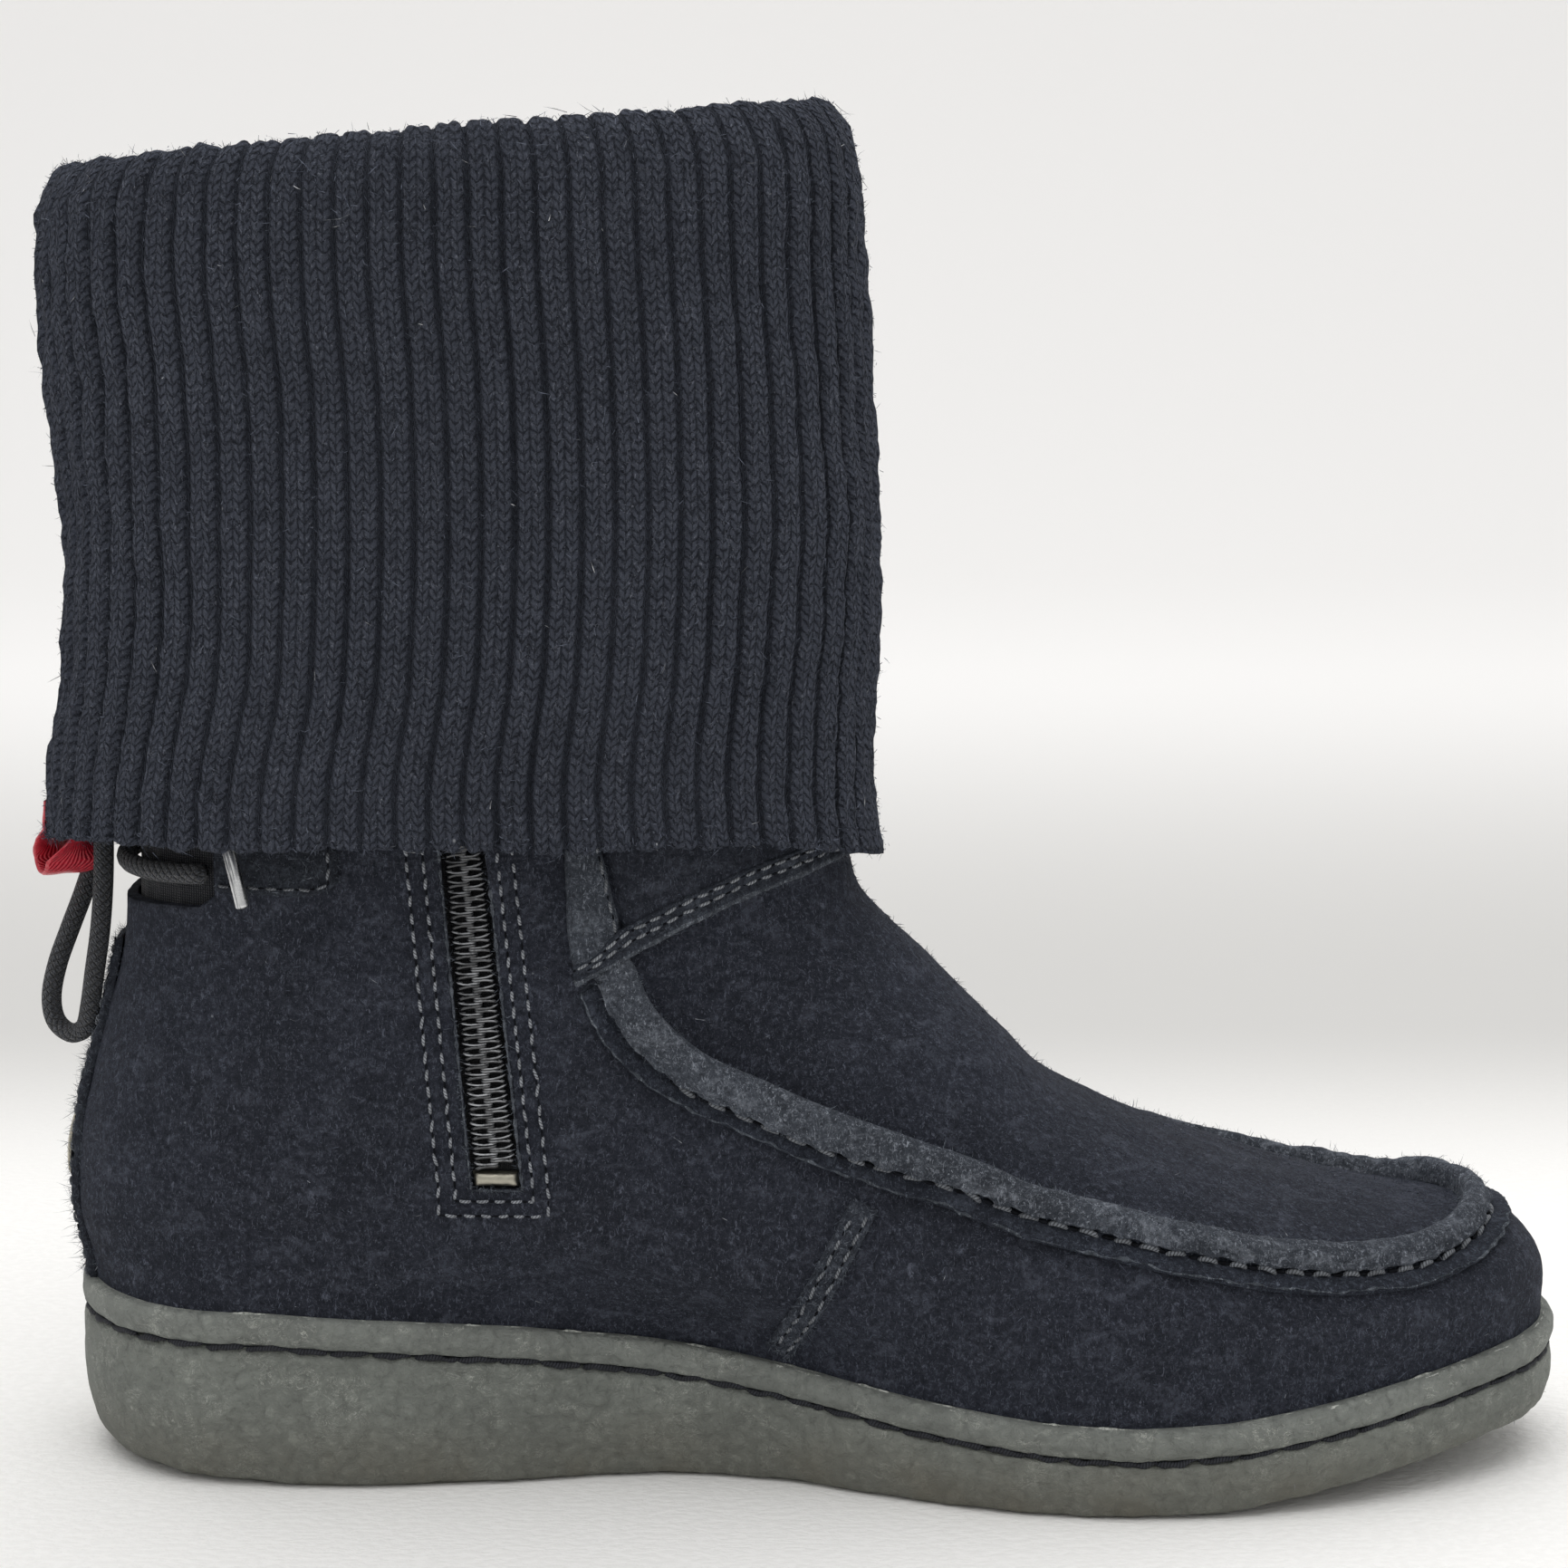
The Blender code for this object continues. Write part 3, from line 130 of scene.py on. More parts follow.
# Top of the sole along its length: place as a share of LENGTH, share of the wedge that lifts the heel
# above the forefoot, share of the toe spring.
SOLE_RISE = (
    (0.000, 1.00, 0.00),
    (0.140, 0.98, 0.00),
    (0.220, 0.90, 0.00),
    (0.300, 0.79, 0.00),
    (0.380, 0.60, 0.00),
    (0.480, 0.35, 0.00),
    (0.560, 0.16, 0.00),
    (0.640, 0.04, 0.00),
    (0.700, 0.00, 0.00),
    (0.760, 0.00, 0.07),
    (0.830, 0.00, 0.35),
    (0.890, 0.00, 0.63),
    (0.950, 0.00, 0.87),
    (1.000, 0.00, 1.02),
)

# Sections of the upper, toe to collar. Each is an oval in a plane that holds the Y direction and runs
# from a back point to a front point. Columns: back x and rise, front x and rise, medial and lateral
# half width, share of the way from back to front where it is widest, squareness towards the front and
# towards the back. x is a share of LENGTH, a width is a share of BALL_WIDTH, and a rise is measured
# from the top of the sole: 0 to 1 is INSTEP_HEIGHT, and what is above 1 is a share of SHAFT_HEIGHT.
SECTIONS = (
    (0.9905, -0.085, 0.9905, 0.030, 0.000, 0.000, 0.50, 2.2, 2.6),
    (0.9835, -0.110, 0.9835, 0.140, 0.130, 0.110, 0.44, 2.3, 2.8),
    (0.9640, -0.130, 0.9640, 0.222, 0.238, 0.200, 0.40, 2.4, 2.8),
    (0.9340, -0.145, 0.9340, 0.258, 0.325, 0.280, 0.38, 2.5, 2.8),
    (0.8900, -0.150, 0.8900, 0.288, 0.400, 0.345, 0.37, 2.5, 2.8),
    (0.8300, -0.140, 0.8330, 0.352, 0.455, 0.400, 0.37, 2.5, 2.8),
    (0.7600, -0.120, 0.7650, 0.450, 0.490, 0.440, 0.38, 2.4, 2.8),
    (0.6830, -0.115, 0.6990, 0.545, 0.500, 0.462, 0.39, 2.3, 2.8),
    (0.5960, -0.130, 0.6470, 0.638, 0.475, 0.465, 0.40, 2.2, 2.8),
    (0.5000, -0.145, 0.6070, 0.768, 0.430, 0.440, 0.42, 2.1, 2.8),
    (0.3990, -0.160, 0.5720, 0.873, 0.390, 0.410, 0.44, 2.1, 2.8),
    (0.2890, -0.175, 0.5410, 0.958, 0.368, 0.385, 0.46, 2.1, 2.8),
    (0.1750, -0.160, 0.5220, 1.035, 0.360, 0.370, 0.47, 2.2, 2.8),
    (0.0690, -0.110, 0.5150, 1.190, 0.355, 0.362, 0.48, 2.2, 2.8),
    (0.0055, 0.020, 0.5130, 1.330, 0.350, 0.357, 0.49, 2.3, 2.8),
    (-0.0005, 0.205, 0.5120, 1.460, 0.342, 0.350, 0.49, 2.3, 2.7),
    (0.0055, 0.400, 0.5115, 1.580, 0.335, 0.342, 0.50, 2.3, 2.6),
    (0.0210, 0.590, 0.5110, 1.680, 0.328, 0.335, 0.50, 2.3, 2.5),
    (0.0335, 0.770, 0.5110, 1.770, 0.326, 0.332, 0.50, 2.3, 2.5),
    (0.0365, 0.985, 0.5115, 1.850, 0.328, 0.332, 0.50, 2.3, 2.5),
    (0.0325, 1.360, 0.5120, 1.930, 0.332, 0.334, 0.50, 2.4, 2.5),
    (0.0280, 1.700, 0.5130, 2.010, 0.336, 0.336, 0.50, 2.4, 2.5),
)

# Folded cuff, hem to fold: share of the height, how far the back stands behind x = 0 and the front
# ahead of it as shares of LENGTH, half width as a share of CUFF_HALF_WIDTH.
CUFF_SECTIONS = (
    (0.00, -0.0200, 0.5400, 1.010),
    (0.10, -0.0150, 0.5330, 1.000),
    (0.25, -0.0040, 0.5370, 0.990),
    (0.45, -0.0015, 0.5380, 0.985),
    (0.65, -0.0040, 0.5330, 0.975),
    (0.82, -0.0120, 0.5270, 0.965),
    (0.93, -0.0100, 0.5220, 0.950),
    (1.00, -0.0040, 0.5140, 0.915),
)

# Raised seam of the apron, from the middle of the toe up one side: row of SECTIONS, turn in degrees.
# The other side is its mirror.
APRON_SEAM = (
    (2.70, 0.0),
    (2.86, 18.5),
    (3.25, 32.0),
    (3.95, 41.5),
    (4.75, 46.5),
    (5.65, 50.0),
    (6.60, 52.0),
    (7.50, 54.0),
    (8.50, 58.5),
    (9.40, 63.0),
    (10.40, 66.0),
    (11.60, 66.5),
    (12.80, 65.5),
    (13.85, 65.0),
)

# Cross-section of that seam: place across as a share of the ridge's width, up towards the apron, and
# height as a share of its height. The flange below it is its first stretch.
RIDGE_PROFILE = (
    (-0.50, 0.26),
    (-0.43, 0.70),
    (-0.20, 0.96),
    (0.16, 1.00),
    (0.44, 0.78),
    (0.50, 0.08),
)

# Lower edge of the throat panel, from the middle of the front to the strap: turn in degrees, row.
PANEL_EDGE = ((0, 12.95), (16, 13.05), (32, 13.45), (45, 13.86), (54, 14.05), (63, 14.16))

# Strap between that panel and the quarter: row, turn of its front edge, turn of its back edge.
STRAP_EDGES = (
    (14.22, 64.0, 70.2), (15.0, 64.6, 71.2), (16.6, 68.7, 73.6), (18.5, 70.4, 75.6), (19.4, 71.2, 76.4),
)

# Strip up the back of the heel: row, turn to either side in degrees.
HEEL_STRIP_EDGES = ((13.50, 19.0), (14.5, 18.5), (15.4, 18.0), (16.3, 16.5), (17.1, 14.5), (17.95, 12.5))

SIDE_LAP_ROW = 9.55

SIDE_LAP_TURNS = (75.5, 133.0)

HIDDEN_TOP_ROW = 19.4

# Route of the hanging loop of cord, down one strand and up the other
LOOP_ROUTE = (
    (0.0044, 0.0018, 0.1222),
    (0.0042, 0.0019, 0.1160),
    (0.0030, 0.0020, 0.1095),
    (0.0008, 0.0021, 0.1030),
    (-0.0020, 0.0020, 0.0960),
    (-0.0044, 0.0016, 0.0895),
    (-0.0056, 0.0010, 0.0835),
    (-0.0048, 0.0002, 0.0790),
    (-0.0018, -0.0012, 0.0769),
    (0.0012, -0.0030, 0.0784),
    (0.0027, -0.0052, 0.0829),
    (0.0041, -0.0069, 0.0900),
    (0.0054, -0.0075, 0.0975),
    (0.0061, -0.0071, 0.1050),
    (0.0063, -0.0060, 0.1130),
    (0.0060, -0.0044, 0.1222),
)

# Route of the cord's end from the knot to its tag, between the upper and the cuff
END_ROUTE = (
    (0.0068, -0.0056, 0.1262),
    (0.0077, -0.0108, 0.1272),
    (0.0110, -0.0171, 0.1284),
    (0.0158, -0.0222, 0.1294),
    (0.0212, -0.0260, 0.1296),
    (0.0262, -0.0286, 0.1284),
    (0.0300, -0.0303, 0.1258),
    (0.0318, -0.0310, 0.1226),
)

TAG_FOOT = (0.0355, -0.0324, 0.1066)

KNOT_CENTRE = (0.0050, -0.0006, 0.1257)

SOLE_STEPS_PER_ROW = 16


def mirrored_ends(rows, first, last):
    """The rows with one more at each end. In each column it repeats the neighbour's value where first or
    last is 1, and carries the end row on in a straight line where it is -1."""
    rows = np.array(rows, float)
    before = np.where(np.array(first) > 0, rows[1], 2 * rows[0] - rows[1])
    after = np.where(np.array(last) > 0, rows[-2], 2 * rows[-1] - rows[-2])
    return np.vstack([before, rows, after])

def smooth(rows, at):
    """A table with its steering end rows, read at row numbers that need not be whole."""
    at = np.clip(np.asarray(at, float), 0.0, len(rows) - 3 - 1e-9)
    k = at.astype(int)
    f = (at - k)[..., None]
    a, b, c, d = rows[k], rows[k + 1], rows[k + 2], rows[k + 3]
    bend = (2 * a - 5 * b + 4 * c - d) * f**2 + (3 * b - a - 3 * c + d) * f**3
    return 0.5 * (2 * b + (c - a) * f + bend)

def outline_stations():
    """(x, medial reach, lateral reach) along the sole, closely spaced, each reach from the centre line."""
    rows = mirrored_ends(np.array(OUTLINE) * (LENGTH, BALL_WIDTH, BALL_WIDTH), (1, -1, -1), (1, -1, -1))
    count = (len(OUTLINE) - 1) * SOLE_STEPS_PER_ROW
    return smooth(rows, np.arange(count + 1) / SOLE_STEPS_PER_ROW)

STATIONS = outline_stations()

RISE_ROWS = np.array(SOLE_RISE)

def spring(x):
    """How far toe spring lifts the sole at x."""
    return TOE_SPRING * np.interp(x / LENGTH, RISE_ROWS[:, 0], RISE_ROWS[:, 2])

def sole_top(x):
    """Height of the top of the sole at x."""
    wedge = np.interp(x / LENGTH, RISE_ROWS[:, 0], RISE_ROWS[:, 1])
    return FOREFOOT_HEIGHT + wedge * (HEEL_HEIGHT - FOREFOOT_HEIGHT) + spring(x)

def sole_bottom(x):
    return spring(x)

HEEL_CENTRE = OUTLINE[4][0] * LENGTH

TOE_CENTRE = OUTLINE[13][0] * LENGTH

TOE_SWING = -OUTLINE[-1][1] * BALL_WIDTH

def spine(x):
    """The nearest point of the sole's centre line, from the middle of the heel to that of the toe."""
    middle = np.clip(x, HEEL_CENTRE, TOE_CENTRE)
    swing = TOE_SWING * np.clip((x - TOE_CENTRE) / (LENGTH - TOE_CENTRE), 0, 1)
    return middle, swing * (x > TOE_CENTRE)

def sole_reach(x, y):
    """Distance from the spine to the sole's edge in the direction of a point."""
    middle, swing = spine(x)
    away_x = x - middle
    away_y = y - swing
    medial = away_y < 0
    straight = np.where(
        medial,
        np.interp(x, STATIONS[:, 0], STATIONS[:, 1]),
        np.interp(x, STATIONS[:, 0], STATIONS[:, 2]),
    )
    around = np.arctan2(away_y, np.abs(away_x) + 1e-12)
    found = straight
    for centre, ahead in ((HEEL_CENTRE, False), (TOE_CENTRE, True)):
        end = STATIONS[STATIONS[:, 0] >= centre] if ahead else STATIONS[STATIONS[:, 0] <= centre]
        ring_x = np.concatenate([end[:, 0], end[:, 0]])
        ring_y = np.concatenate([-end[:, 1], end[:, 2]])
        ring_swing = spine(ring_x)[1]
        angle = np.arctan2(ring_y - ring_swing, np.abs(ring_x - centre) + 1e-12)
        radius = np.hypot(ring_x - centre, ring_y - ring_swing)
        order = np.argsort(angle)
        inside = (x > centre) if ahead else (x < centre)
        found = np.where(inside, np.interp(around, angle[order], radius[order]), found)
    return found

def rise(share):
    """A share of the last's height in metres: up to 1 over the instep, and above it up the shaft."""
    return INSTEP_HEIGHT * np.minimum(share, 1.0) + SHAFT_HEIGHT * np.maximum(share - 1.0, 0.0)

def last_rows():
    """SECTIONS in metres, with the rows that steer its ends."""
    rows = np.array(SECTIONS)
    for x_column in (0, 2):
        rows[:, x_column] *= LENGTH
        rows[:, x_column + 1] = sole_top(rows[:, x_column]) + rise(rows[:, x_column + 1])
    rows[:, 4:6] *= BALL_WIDTH
    toe = (1, -1, 1, -1, -1, -1, 1, 1, 1)
    return mirrored_ends(rows, toe, (-1,) * 9)

LAST = last_rows()

COLLAR = len(SECTIONS) - 1

TOE_WEIGHT_ROWS = 8.0

def last_point(row, turn):
    """Points of the upper's outer face: row is a row number of SECTIONS, and turn goes round a section in
    radians, from 0 at the front over the medial side to pi at the back."""
    row, turn = np.broadcast_arrays(np.asarray(row, float), np.asarray(turn, float))
    q = smooth(LAST, row)
    c, s = np.cos(turn), np.sin(turn)
    squareness = np.where(c > 0, q[..., 7], q[..., 8])
    grow = (np.abs(c) ** squareness + np.abs(s) ** squareness) ** (-1 / squareness)
    share = q[..., 6] + np.where(c > 0, 1 - q[..., 6], q[..., 6]) * c * grow
    half = np.where(s > 0, q[..., 4], q[..., 5])
    toward_toe = np.clip(1 - row / TOE_WEIGHT_ROWS, 0, 1) ** 2
    x = q[..., 0] + share * (q[..., 2] - q[..., 0])
    z = q[..., 1] + share * (q[..., 3] - q[..., 1])
    y = TOE_SWING * toward_toe - s * grow * half
    middle, swing = spine(x)
    reach = np.hypot(x - middle, y - swing)
    wanted = sole_reach(x, y) - LEDGE
    above = np.clip((z - sole_top(x)) / FEATHER_REACH, 0, 1)
    pull = (1 - above) ** 2 * (1 + 2 * above)
    scale = 1 + pull * (wanted / np.maximum(reach, 1e-6) - 1)
    scale = np.where(reach > 0.006, scale, 1.0)
    return np.stack([middle + (x - middle) * scale, swing + (y - swing) * scale, z], -1)

def last_frame(row, turn):
    """(point, step per row, step per radian, outward normal) on the upper's outer face."""
    step = 1e-3
    low = np.clip(np.asarray(row, float), step, COLLAR - step)
    along = (last_point(low + step, turn) - last_point(low - step, turn)) / (2 * step)
    around = (last_point(low, turn + step) - last_point(low, turn - step)) / (2 * step)
    normal = np.cross(along, around)
    normal /= np.linalg.norm(normal, axis=-1, keepdims=True)
    return last_point(row, turn), along, around, normal

def on_last(row, turn, out=0.0):
    """A point that stands out from the upper's outer face."""
    point, _, _, normal = last_frame(row, turn)
    return point + np.asarray(out, float)[..., None] * normal

def zip_line(share):
    """(x, z) along the zip, from its foot to its head."""
    return tuple(foot + share * (head - foot) for foot, head in zip(ZIP_FOOT, ZIP_HEAD))

def find_on_side(x, z, side):
    """(row, turn) of the points of the upper's outer face at x and z, on side -1 medial or 1 lateral."""
    x, z = np.broadcast_arrays(np.asarray(x, float), np.asarray(z, float))
    rows = np.linspace(1.0, COLLAR - 0.1, 90)
    turns = -side * np.radians(np.linspace(6, 176, 70))
    grid_row, grid_turn = np.meshgrid(rows, turns, indexing="ij")
    grid = last_point(grid_row, grid_turn).reshape(-1, 3)
    wanted = np.stack([x.ravel(), z.ravel()], -1)
    away = ((wanted[:, None, :] - grid[None, :, ::2]) ** 2).sum(-1)
    nearest = away.argmin(1)
    row, turn = grid_row.ravel()[nearest], grid_turn.ravel()[nearest]
    for _ in range(8):
        point, along, around, _ = last_frame(row, turn)
        miss = wanted - point[:, ::2]
        a, b, c, d = along[:, 0], around[:, 0], along[:, 2], around[:, 2]
        size = a * d - b * c
        row = row + np.clip((d * miss[:, 0] - b * miss[:, 1]) / size, -0.3, 0.3)
        turn = turn + np.clip((a * miss[:, 1] - c * miss[:, 0]) / size, -0.1, 0.1)
        row = np.clip(row, 0.1, COLLAR)
    return row.reshape(x.shape), turn.reshape(x.shape)

def stepped(row, turn, move):
    """(row, turn) after a move in space along the upper's outer face."""
    start = last_point(row, turn)
    for _ in range(3):
        point, along, around, _ = last_frame(row, turn)
        miss = start + move - point
        aa, ab, bb = (along * along).sum(-1), (along * around).sum(-1), (around * around).sum(-1)
        to_a, to_b = (along * miss).sum(-1), (around * miss).sum(-1)
        size = aa * bb - ab * ab
        row = row + (bb * to_a - ab * to_b) / size
        turn = turn + (aa * to_b - ab * to_a) / size
    return row, turn

def cuff_top(x):
    """Height of the fold, lower towards the back."""
    return CUFF_TOP - CUFF_TOP_DROP * (1 - np.clip(x / (0.5 * LENGTH), 0, 1))

def cuff_hem(x):
    """Height of the hem, which dips at the front and at the back."""
    back, front = CUFF_SECTIONS[0][1] * LENGTH, CUFF_SECTIONS[0][2] * LENGTH
    place = np.clip(2 * (x - back) / (front - back) - 1, -1, 1)
    drop = np.where(place > 0, CUFF_HEM_DROP_FRONT, CUFF_HEM_DROP_BACK)
    return CUFF_HEM - drop * place**6

def cuff_point(share, turn, inward):
    """A point of the folded cuff: share of its height, turn round it from the front over the medial side,
    and distance inside its outer face."""
    rows = mirrored_ends(np.array(CUFF_SECTIONS), (-1, -1, -1, -1), (-1, -1, -1, -1))
    places = np.interp(share, rows[1:-1, 0], np.arange(len(CUFF_SECTIONS)))
    q = smooth(rows, places)
    back, front = q[..., 1] * LENGTH, q[..., 2] * LENGTH
    half_length = (front - back) / 2 - inward
    half_width = q[..., 3] * CUFF_HALF_WIDTH - inward
    c, s = np.cos(turn), np.sin(turn)
    grow = (np.abs(c) ** CUFF_SQUARENESS + np.abs(s) ** CUFF_SQUARENESS) ** (-1 / CUFF_SQUARENESS)
    x = (front + back) / 2 + c * grow * half_length
    y = -s * grow * half_width
    return np.stack([x, y, cuff_hem(x) + share * (cuff_top(x) - cuff_hem(x))], -1)

def collar_share(turn):
    """Share of the cuff's height at which its inner layer stands on the collar."""
    collar = last_point(np.full(np.shape(turn), float(COLLAR)), turn)
    hem, top = cuff_hem(collar[..., 0]), cuff_top(collar[..., 0])
    return (collar[..., 2] + 2 * GAP - hem) / (top - hem)

def smooth_route(points, spacing):
    """Points at an even spacing on the smooth curve through a route's own points."""
    rows = np.array(points, float)
    rows = np.vstack([2 * rows[0] - rows[1], rows, 2 * rows[-1] - rows[-2]])
    fine = smooth(rows, np.linspace(0, len(points) - 1, 400))
    lengths = np.concatenate([[0], np.cumsum(np.linalg.norm(np.diff(fine, axis=0), axis=1))])
    count = max(3, round(lengths[-1] / spacing) + 1)
    at = np.linspace(0, lengths[-1], count)
    return np.stack([np.interp(at, lengths, fine[:, axis]) for axis in range(3)], -1)

# Camera that the photograph was taken with, as fitted to it
CAMERA_AT = (-0.0032, -0.6688, 0.2360)
CAMERA_DOWN = 9.52
CAMERA_LENS = 84.58

KNIT_RIBS = 66
COURSE = 0.0017

rng = np.random.default_rng(7)


def srgb(red, green, blue, factor=1.0):
    """A display colour in 0 to 255 as linear light."""
    values = np.array((red, green, blue), float) / 255
    linear = np.where(values <= 0.04045, values / 12.92, ((values + 0.055) / 1.055) ** 2.4)
    return (*(linear * factor), 1.0)


class Look:
    """A Principled material and short ways to add nodes to it."""

    def __init__(self, name, roughness=0.9, metallic=0.0, **sockets):
        self.material = bpy.data.materials.new(name)
        self.material.use_nodes = True
        self.tree = self.material.node_tree
        self.shader = self.tree.nodes["Principled BSDF"]
        self.shader.inputs["Roughness"].default_value = roughness
        self.shader.inputs["Metallic"].default_value = metallic
        for key, value in sockets.items():
            self.shader.inputs[key.replace("_", " ")].default_value = value
        self.places = self.tree.nodes.new("ShaderNodeTexCoord").outputs["Object"]

    def node(self, kind, settings=(), **inputs):
        made = self.tree.nodes.new("ShaderNode" + kind)
        for key, value in settings:
            setattr(made, key, value)
        for key, value in inputs.items():
            self.put(made.inputs[key.replace("_", " ")], value)
        return made

    def put(self, socket, value):
        if isinstance(value, bpy.types.NodeSocket):
            self.tree.links.new(value, socket)
        else:
            socket.default_value = value

    def math(self, operation, first, second=0.0, clamp=False):
        made = self.node("Math", [("operation", operation), ("use_clamp", clamp)])
        self.put(made.inputs[0], first)
        self.put(made.inputs[1], second)
        return made.outputs[0]

    def noise(self, scale, detail=3.0, roughness=0.6, at=None, distortion=0.0):
        made = self.node("TexNoise", Scale=scale, Detail=detail, Roughness=roughness, Distortion=distortion)
        self.put(made.inputs["Vector"], at or self.places)
        return made.outputs["Fac"]

    def stretched(self, sizes, turn=(0.0, 0.0, 0.0)):
        """Object coordinates turned and scaled unevenly, for grain that runs one way."""
        made = self.node("Mapping", Vector=self.places, Scale=sizes, Rotation=turn)
        return made.outputs["Vector"]

    def step(self, value, low, high, start=0.0, end=1.0):
        """The value mapped from low..high to start..end, and held outside."""
        made = self.node("MapRange", [("interpolation_type", "SMOOTHSTEP")])
        for key, number in (
            ("Value", value), ("From Min", low), ("From Max", high), ("To Min", start), ("To Max", end),
        ):
            self.put(made.inputs[key], number)
        return made.outputs["Result"]

    def mix(self, share, first, second, blend="MIX"):
        made = self.node("Mix", [("data_type", "RGBA"), ("blend_type", blend)])
        self.put(made.inputs[0], share)
        self.put(made.inputs[6], first)
        self.put(made.inputs[7], second)
        return made.outputs[2]

    def bump(self, height, distance, strength=1.0, under=None):
        made = self.node("Bump", Strength=strength, Distance=distance, Height=height)
        if under is not None:
            self.put(made.inputs["Normal"], under)
        return made.outputs["Normal"]

    def finish(self, colour, normal=None, roughness=None):
        self.put(self.shader.inputs["Base Color"], colour)
        if normal is not None:
            self.put(self.shader.inputs["Normal"], normal)
        if roughness is not None:
            self.put(self.shader.inputs["Roughness"], roughness)
        return self.material


def specks(look, colour, scale, share, size, tint):
    """Small flecks of lint: a few cells of a Voronoi pattern hold one each."""
    cells = look.node("TexVoronoi", [("feature", "F1")], Scale=scale, Randomness=1.0, Vector=look.places)
    drawn = look.node("SeparateColor", Color=cells.outputs["Color"]).outputs[0]
    chosen = look.math("GREATER_THAN", drawn, 1 - share)
    near = look.step(cells.outputs["Distance"], size, size * 0.4)
    return look.mix(look.math("MULTIPLY", chosen, near), colour, tint)


def suede(name, base, light, nap=1.0, dark=0.72, flecks=0.05):
    """Brushed suede: cloudy colour, a fine grain, short strokes of nap and a few specks of lint."""
    look = Look(name, 0.95, Sheen_Weight=0.10, Sheen_Roughness=0.5, Specular_IOR_Level=0.2)
    look.shader.inputs["Sheen Tint"].default_value = srgb(140, 152, 176)
    deep = tuple(0.36 * v for v in base[:3]) + (1.0,)
    cloud = look.noise(30, 4, 0.6, distortion=0.6)
    smudge = look.noise(1.0, 4, 0.7, at=look.stretched((120, 120, 200)), distortion=1.0)
    grain = look.noise(820, 5, 0.9, distortion=0.5)
    strokes = look.noise(1.0, 3, 0.8, at=look.stretched((1500, 1400, 600), (0.2, 0.75, 0.1)), distortion=1.6)
    tone = look.mix(look.step(cloud, 0.34, 0.66), tuple(dark * v for v in base[:3]) + (1.0,), base)
    tone = look.mix(look.step(smudge, 0.48, 0.70, 0.0, 0.42), tone, light)
    tone = look.mix(look.step(grain, 0.52, 0.36, 0.0, 0.95), tone, deep)
    tone = look.mix(look.step(grain, 0.53, 0.66, 0.0, 0.85), tone, light)
    brighter = tuple(min(1.25 * v, 1) for v in light[:3]) + (1.0,)
    tone = look.mix(look.step(strokes, 0.56, 0.68, 0.0, 0.85), tone, brighter)
    tone = specks(look, tone, 190, flecks, 0.07, srgb(122, 127, 134))
    height = look.math("ADD", look.math("MULTIPLY", grain, 1.0), look.math("MULTIPLY", strokes, 0.6))
    height = look.math("ADD", height, look.math("MULTIPLY", smudge, 0.6))
    return look.finish(tone, look.bump(height, 0.0009 * nap, 0.9))


def knit_look():
    """Rib knit. The UV map counts wales across and courses up, three to a rib, of which the third lies in the
    groove, and its stitches are drawn as pairs of leaning legs. The groove and the gaps between the legs are
    painted dark as painted shade."""
    look = Look("knit_wool", 0.97, Sheen_Weight=0.30, Sheen_Roughness=0.5, Specular_IOR_Level=0.15)
    look.shader.inputs["Sheen Tint"].default_value = srgb(140, 148, 168)
    axes = look.node("SeparateXYZ", Vector=look.node("UVMap").outputs["UV"])
    shift = look.math("MULTIPLY", look.math("SUBTRACT", look.noise(420, 3, 0.75), 0.5), 0.45)
    across = look.math("ADD", axes.outputs["X"], shift)
    wale = look.math("FRACT", across)
    groove = look.math("GREATER_THAN", look.math("FRACT", look.math("DIVIDE", axes.outputs["X"], 3.0)), 2 / 3)
    side = look.math("ABSOLUTE", look.math("SUBTRACT", wale, 0.5))
    wobble = look.math("MULTIPLY", look.math("SUBTRACT", look.noise(360, 4, 0.75), 0.5), 1.5)
    course = look.math("SUBTRACT", axes.outputs["Y"], look.math("MULTIPLY", side, 1.6))
    course = look.math("ADD", course, wobble)
    place = look.math("ABSOLUTE", look.math("SUBTRACT", look.math("FRACT", course), 0.5))
    leg = look.step(place, 0.50, 0.16)
    split = look.step(side, 0.0, 0.14, 0.30, 1.0)
    edge = look.step(side, 0.5, 0.36, 0.20, 1.0)
    stitch = look.math("MULTIPLY", look.math("MULTIPLY", leg, split), edge)
    fibre = look.noise(1.0, 4, 0.85, at=look.stretched((1500, 1500, 800), (0.3, 0.4, 0.5)), distortion=1.5)
    tuft = look.noise(430, 5, 0.85, distortion=0.9)
    cloud = look.noise(38, 3, 0.6)
    # Painted shade: the gaps between the stitch legs, at their split and at the wale edges, get the dark colour,
    # and the legs get the pale one.
    low, high = srgb(21, 23, 29), srgb(74, 78, 89)
    tone = look.mix(look.step(stitch, 0.05, 0.85, 0.05, 1.0), low, high)
    tone = look.mix(look.step(tuft, 0.50, 0.36, 0.0, 0.85), tone, srgb(17, 19, 24))
    tone = look.mix(look.step(tuft, 0.54, 0.66, 0.0, 0.5), tone, srgb(84, 88, 99))
    tone = look.mix(look.step(fibre, 0.55, 0.66, 0.0, 0.9), tone, srgb(128, 132, 144))
    # Painted shade: the wale in the groove between ribs is painted near black.
    tone = look.mix(look.math("MULTIPLY", groove, 0.75), tone, srgb(14, 15, 18))
    tone = look.mix(look.step(cloud, 0.35, 0.7, 0.20, 0.0), tone, srgb(32, 34, 41))
    tone = specks(look, tone, 150, 0.06, 0.075, srgb(158, 160, 164))
    height = look.math("ADD", look.math("MULTIPLY", stitch, 1.0), look.math("MULTIPLY", fibre, 0.8))
    height = look.math("ADD", height, look.math("MULTIPLY", tuft, 0.8))
    return look.finish(tone, look.bump(height, 0.0010, 1.0))


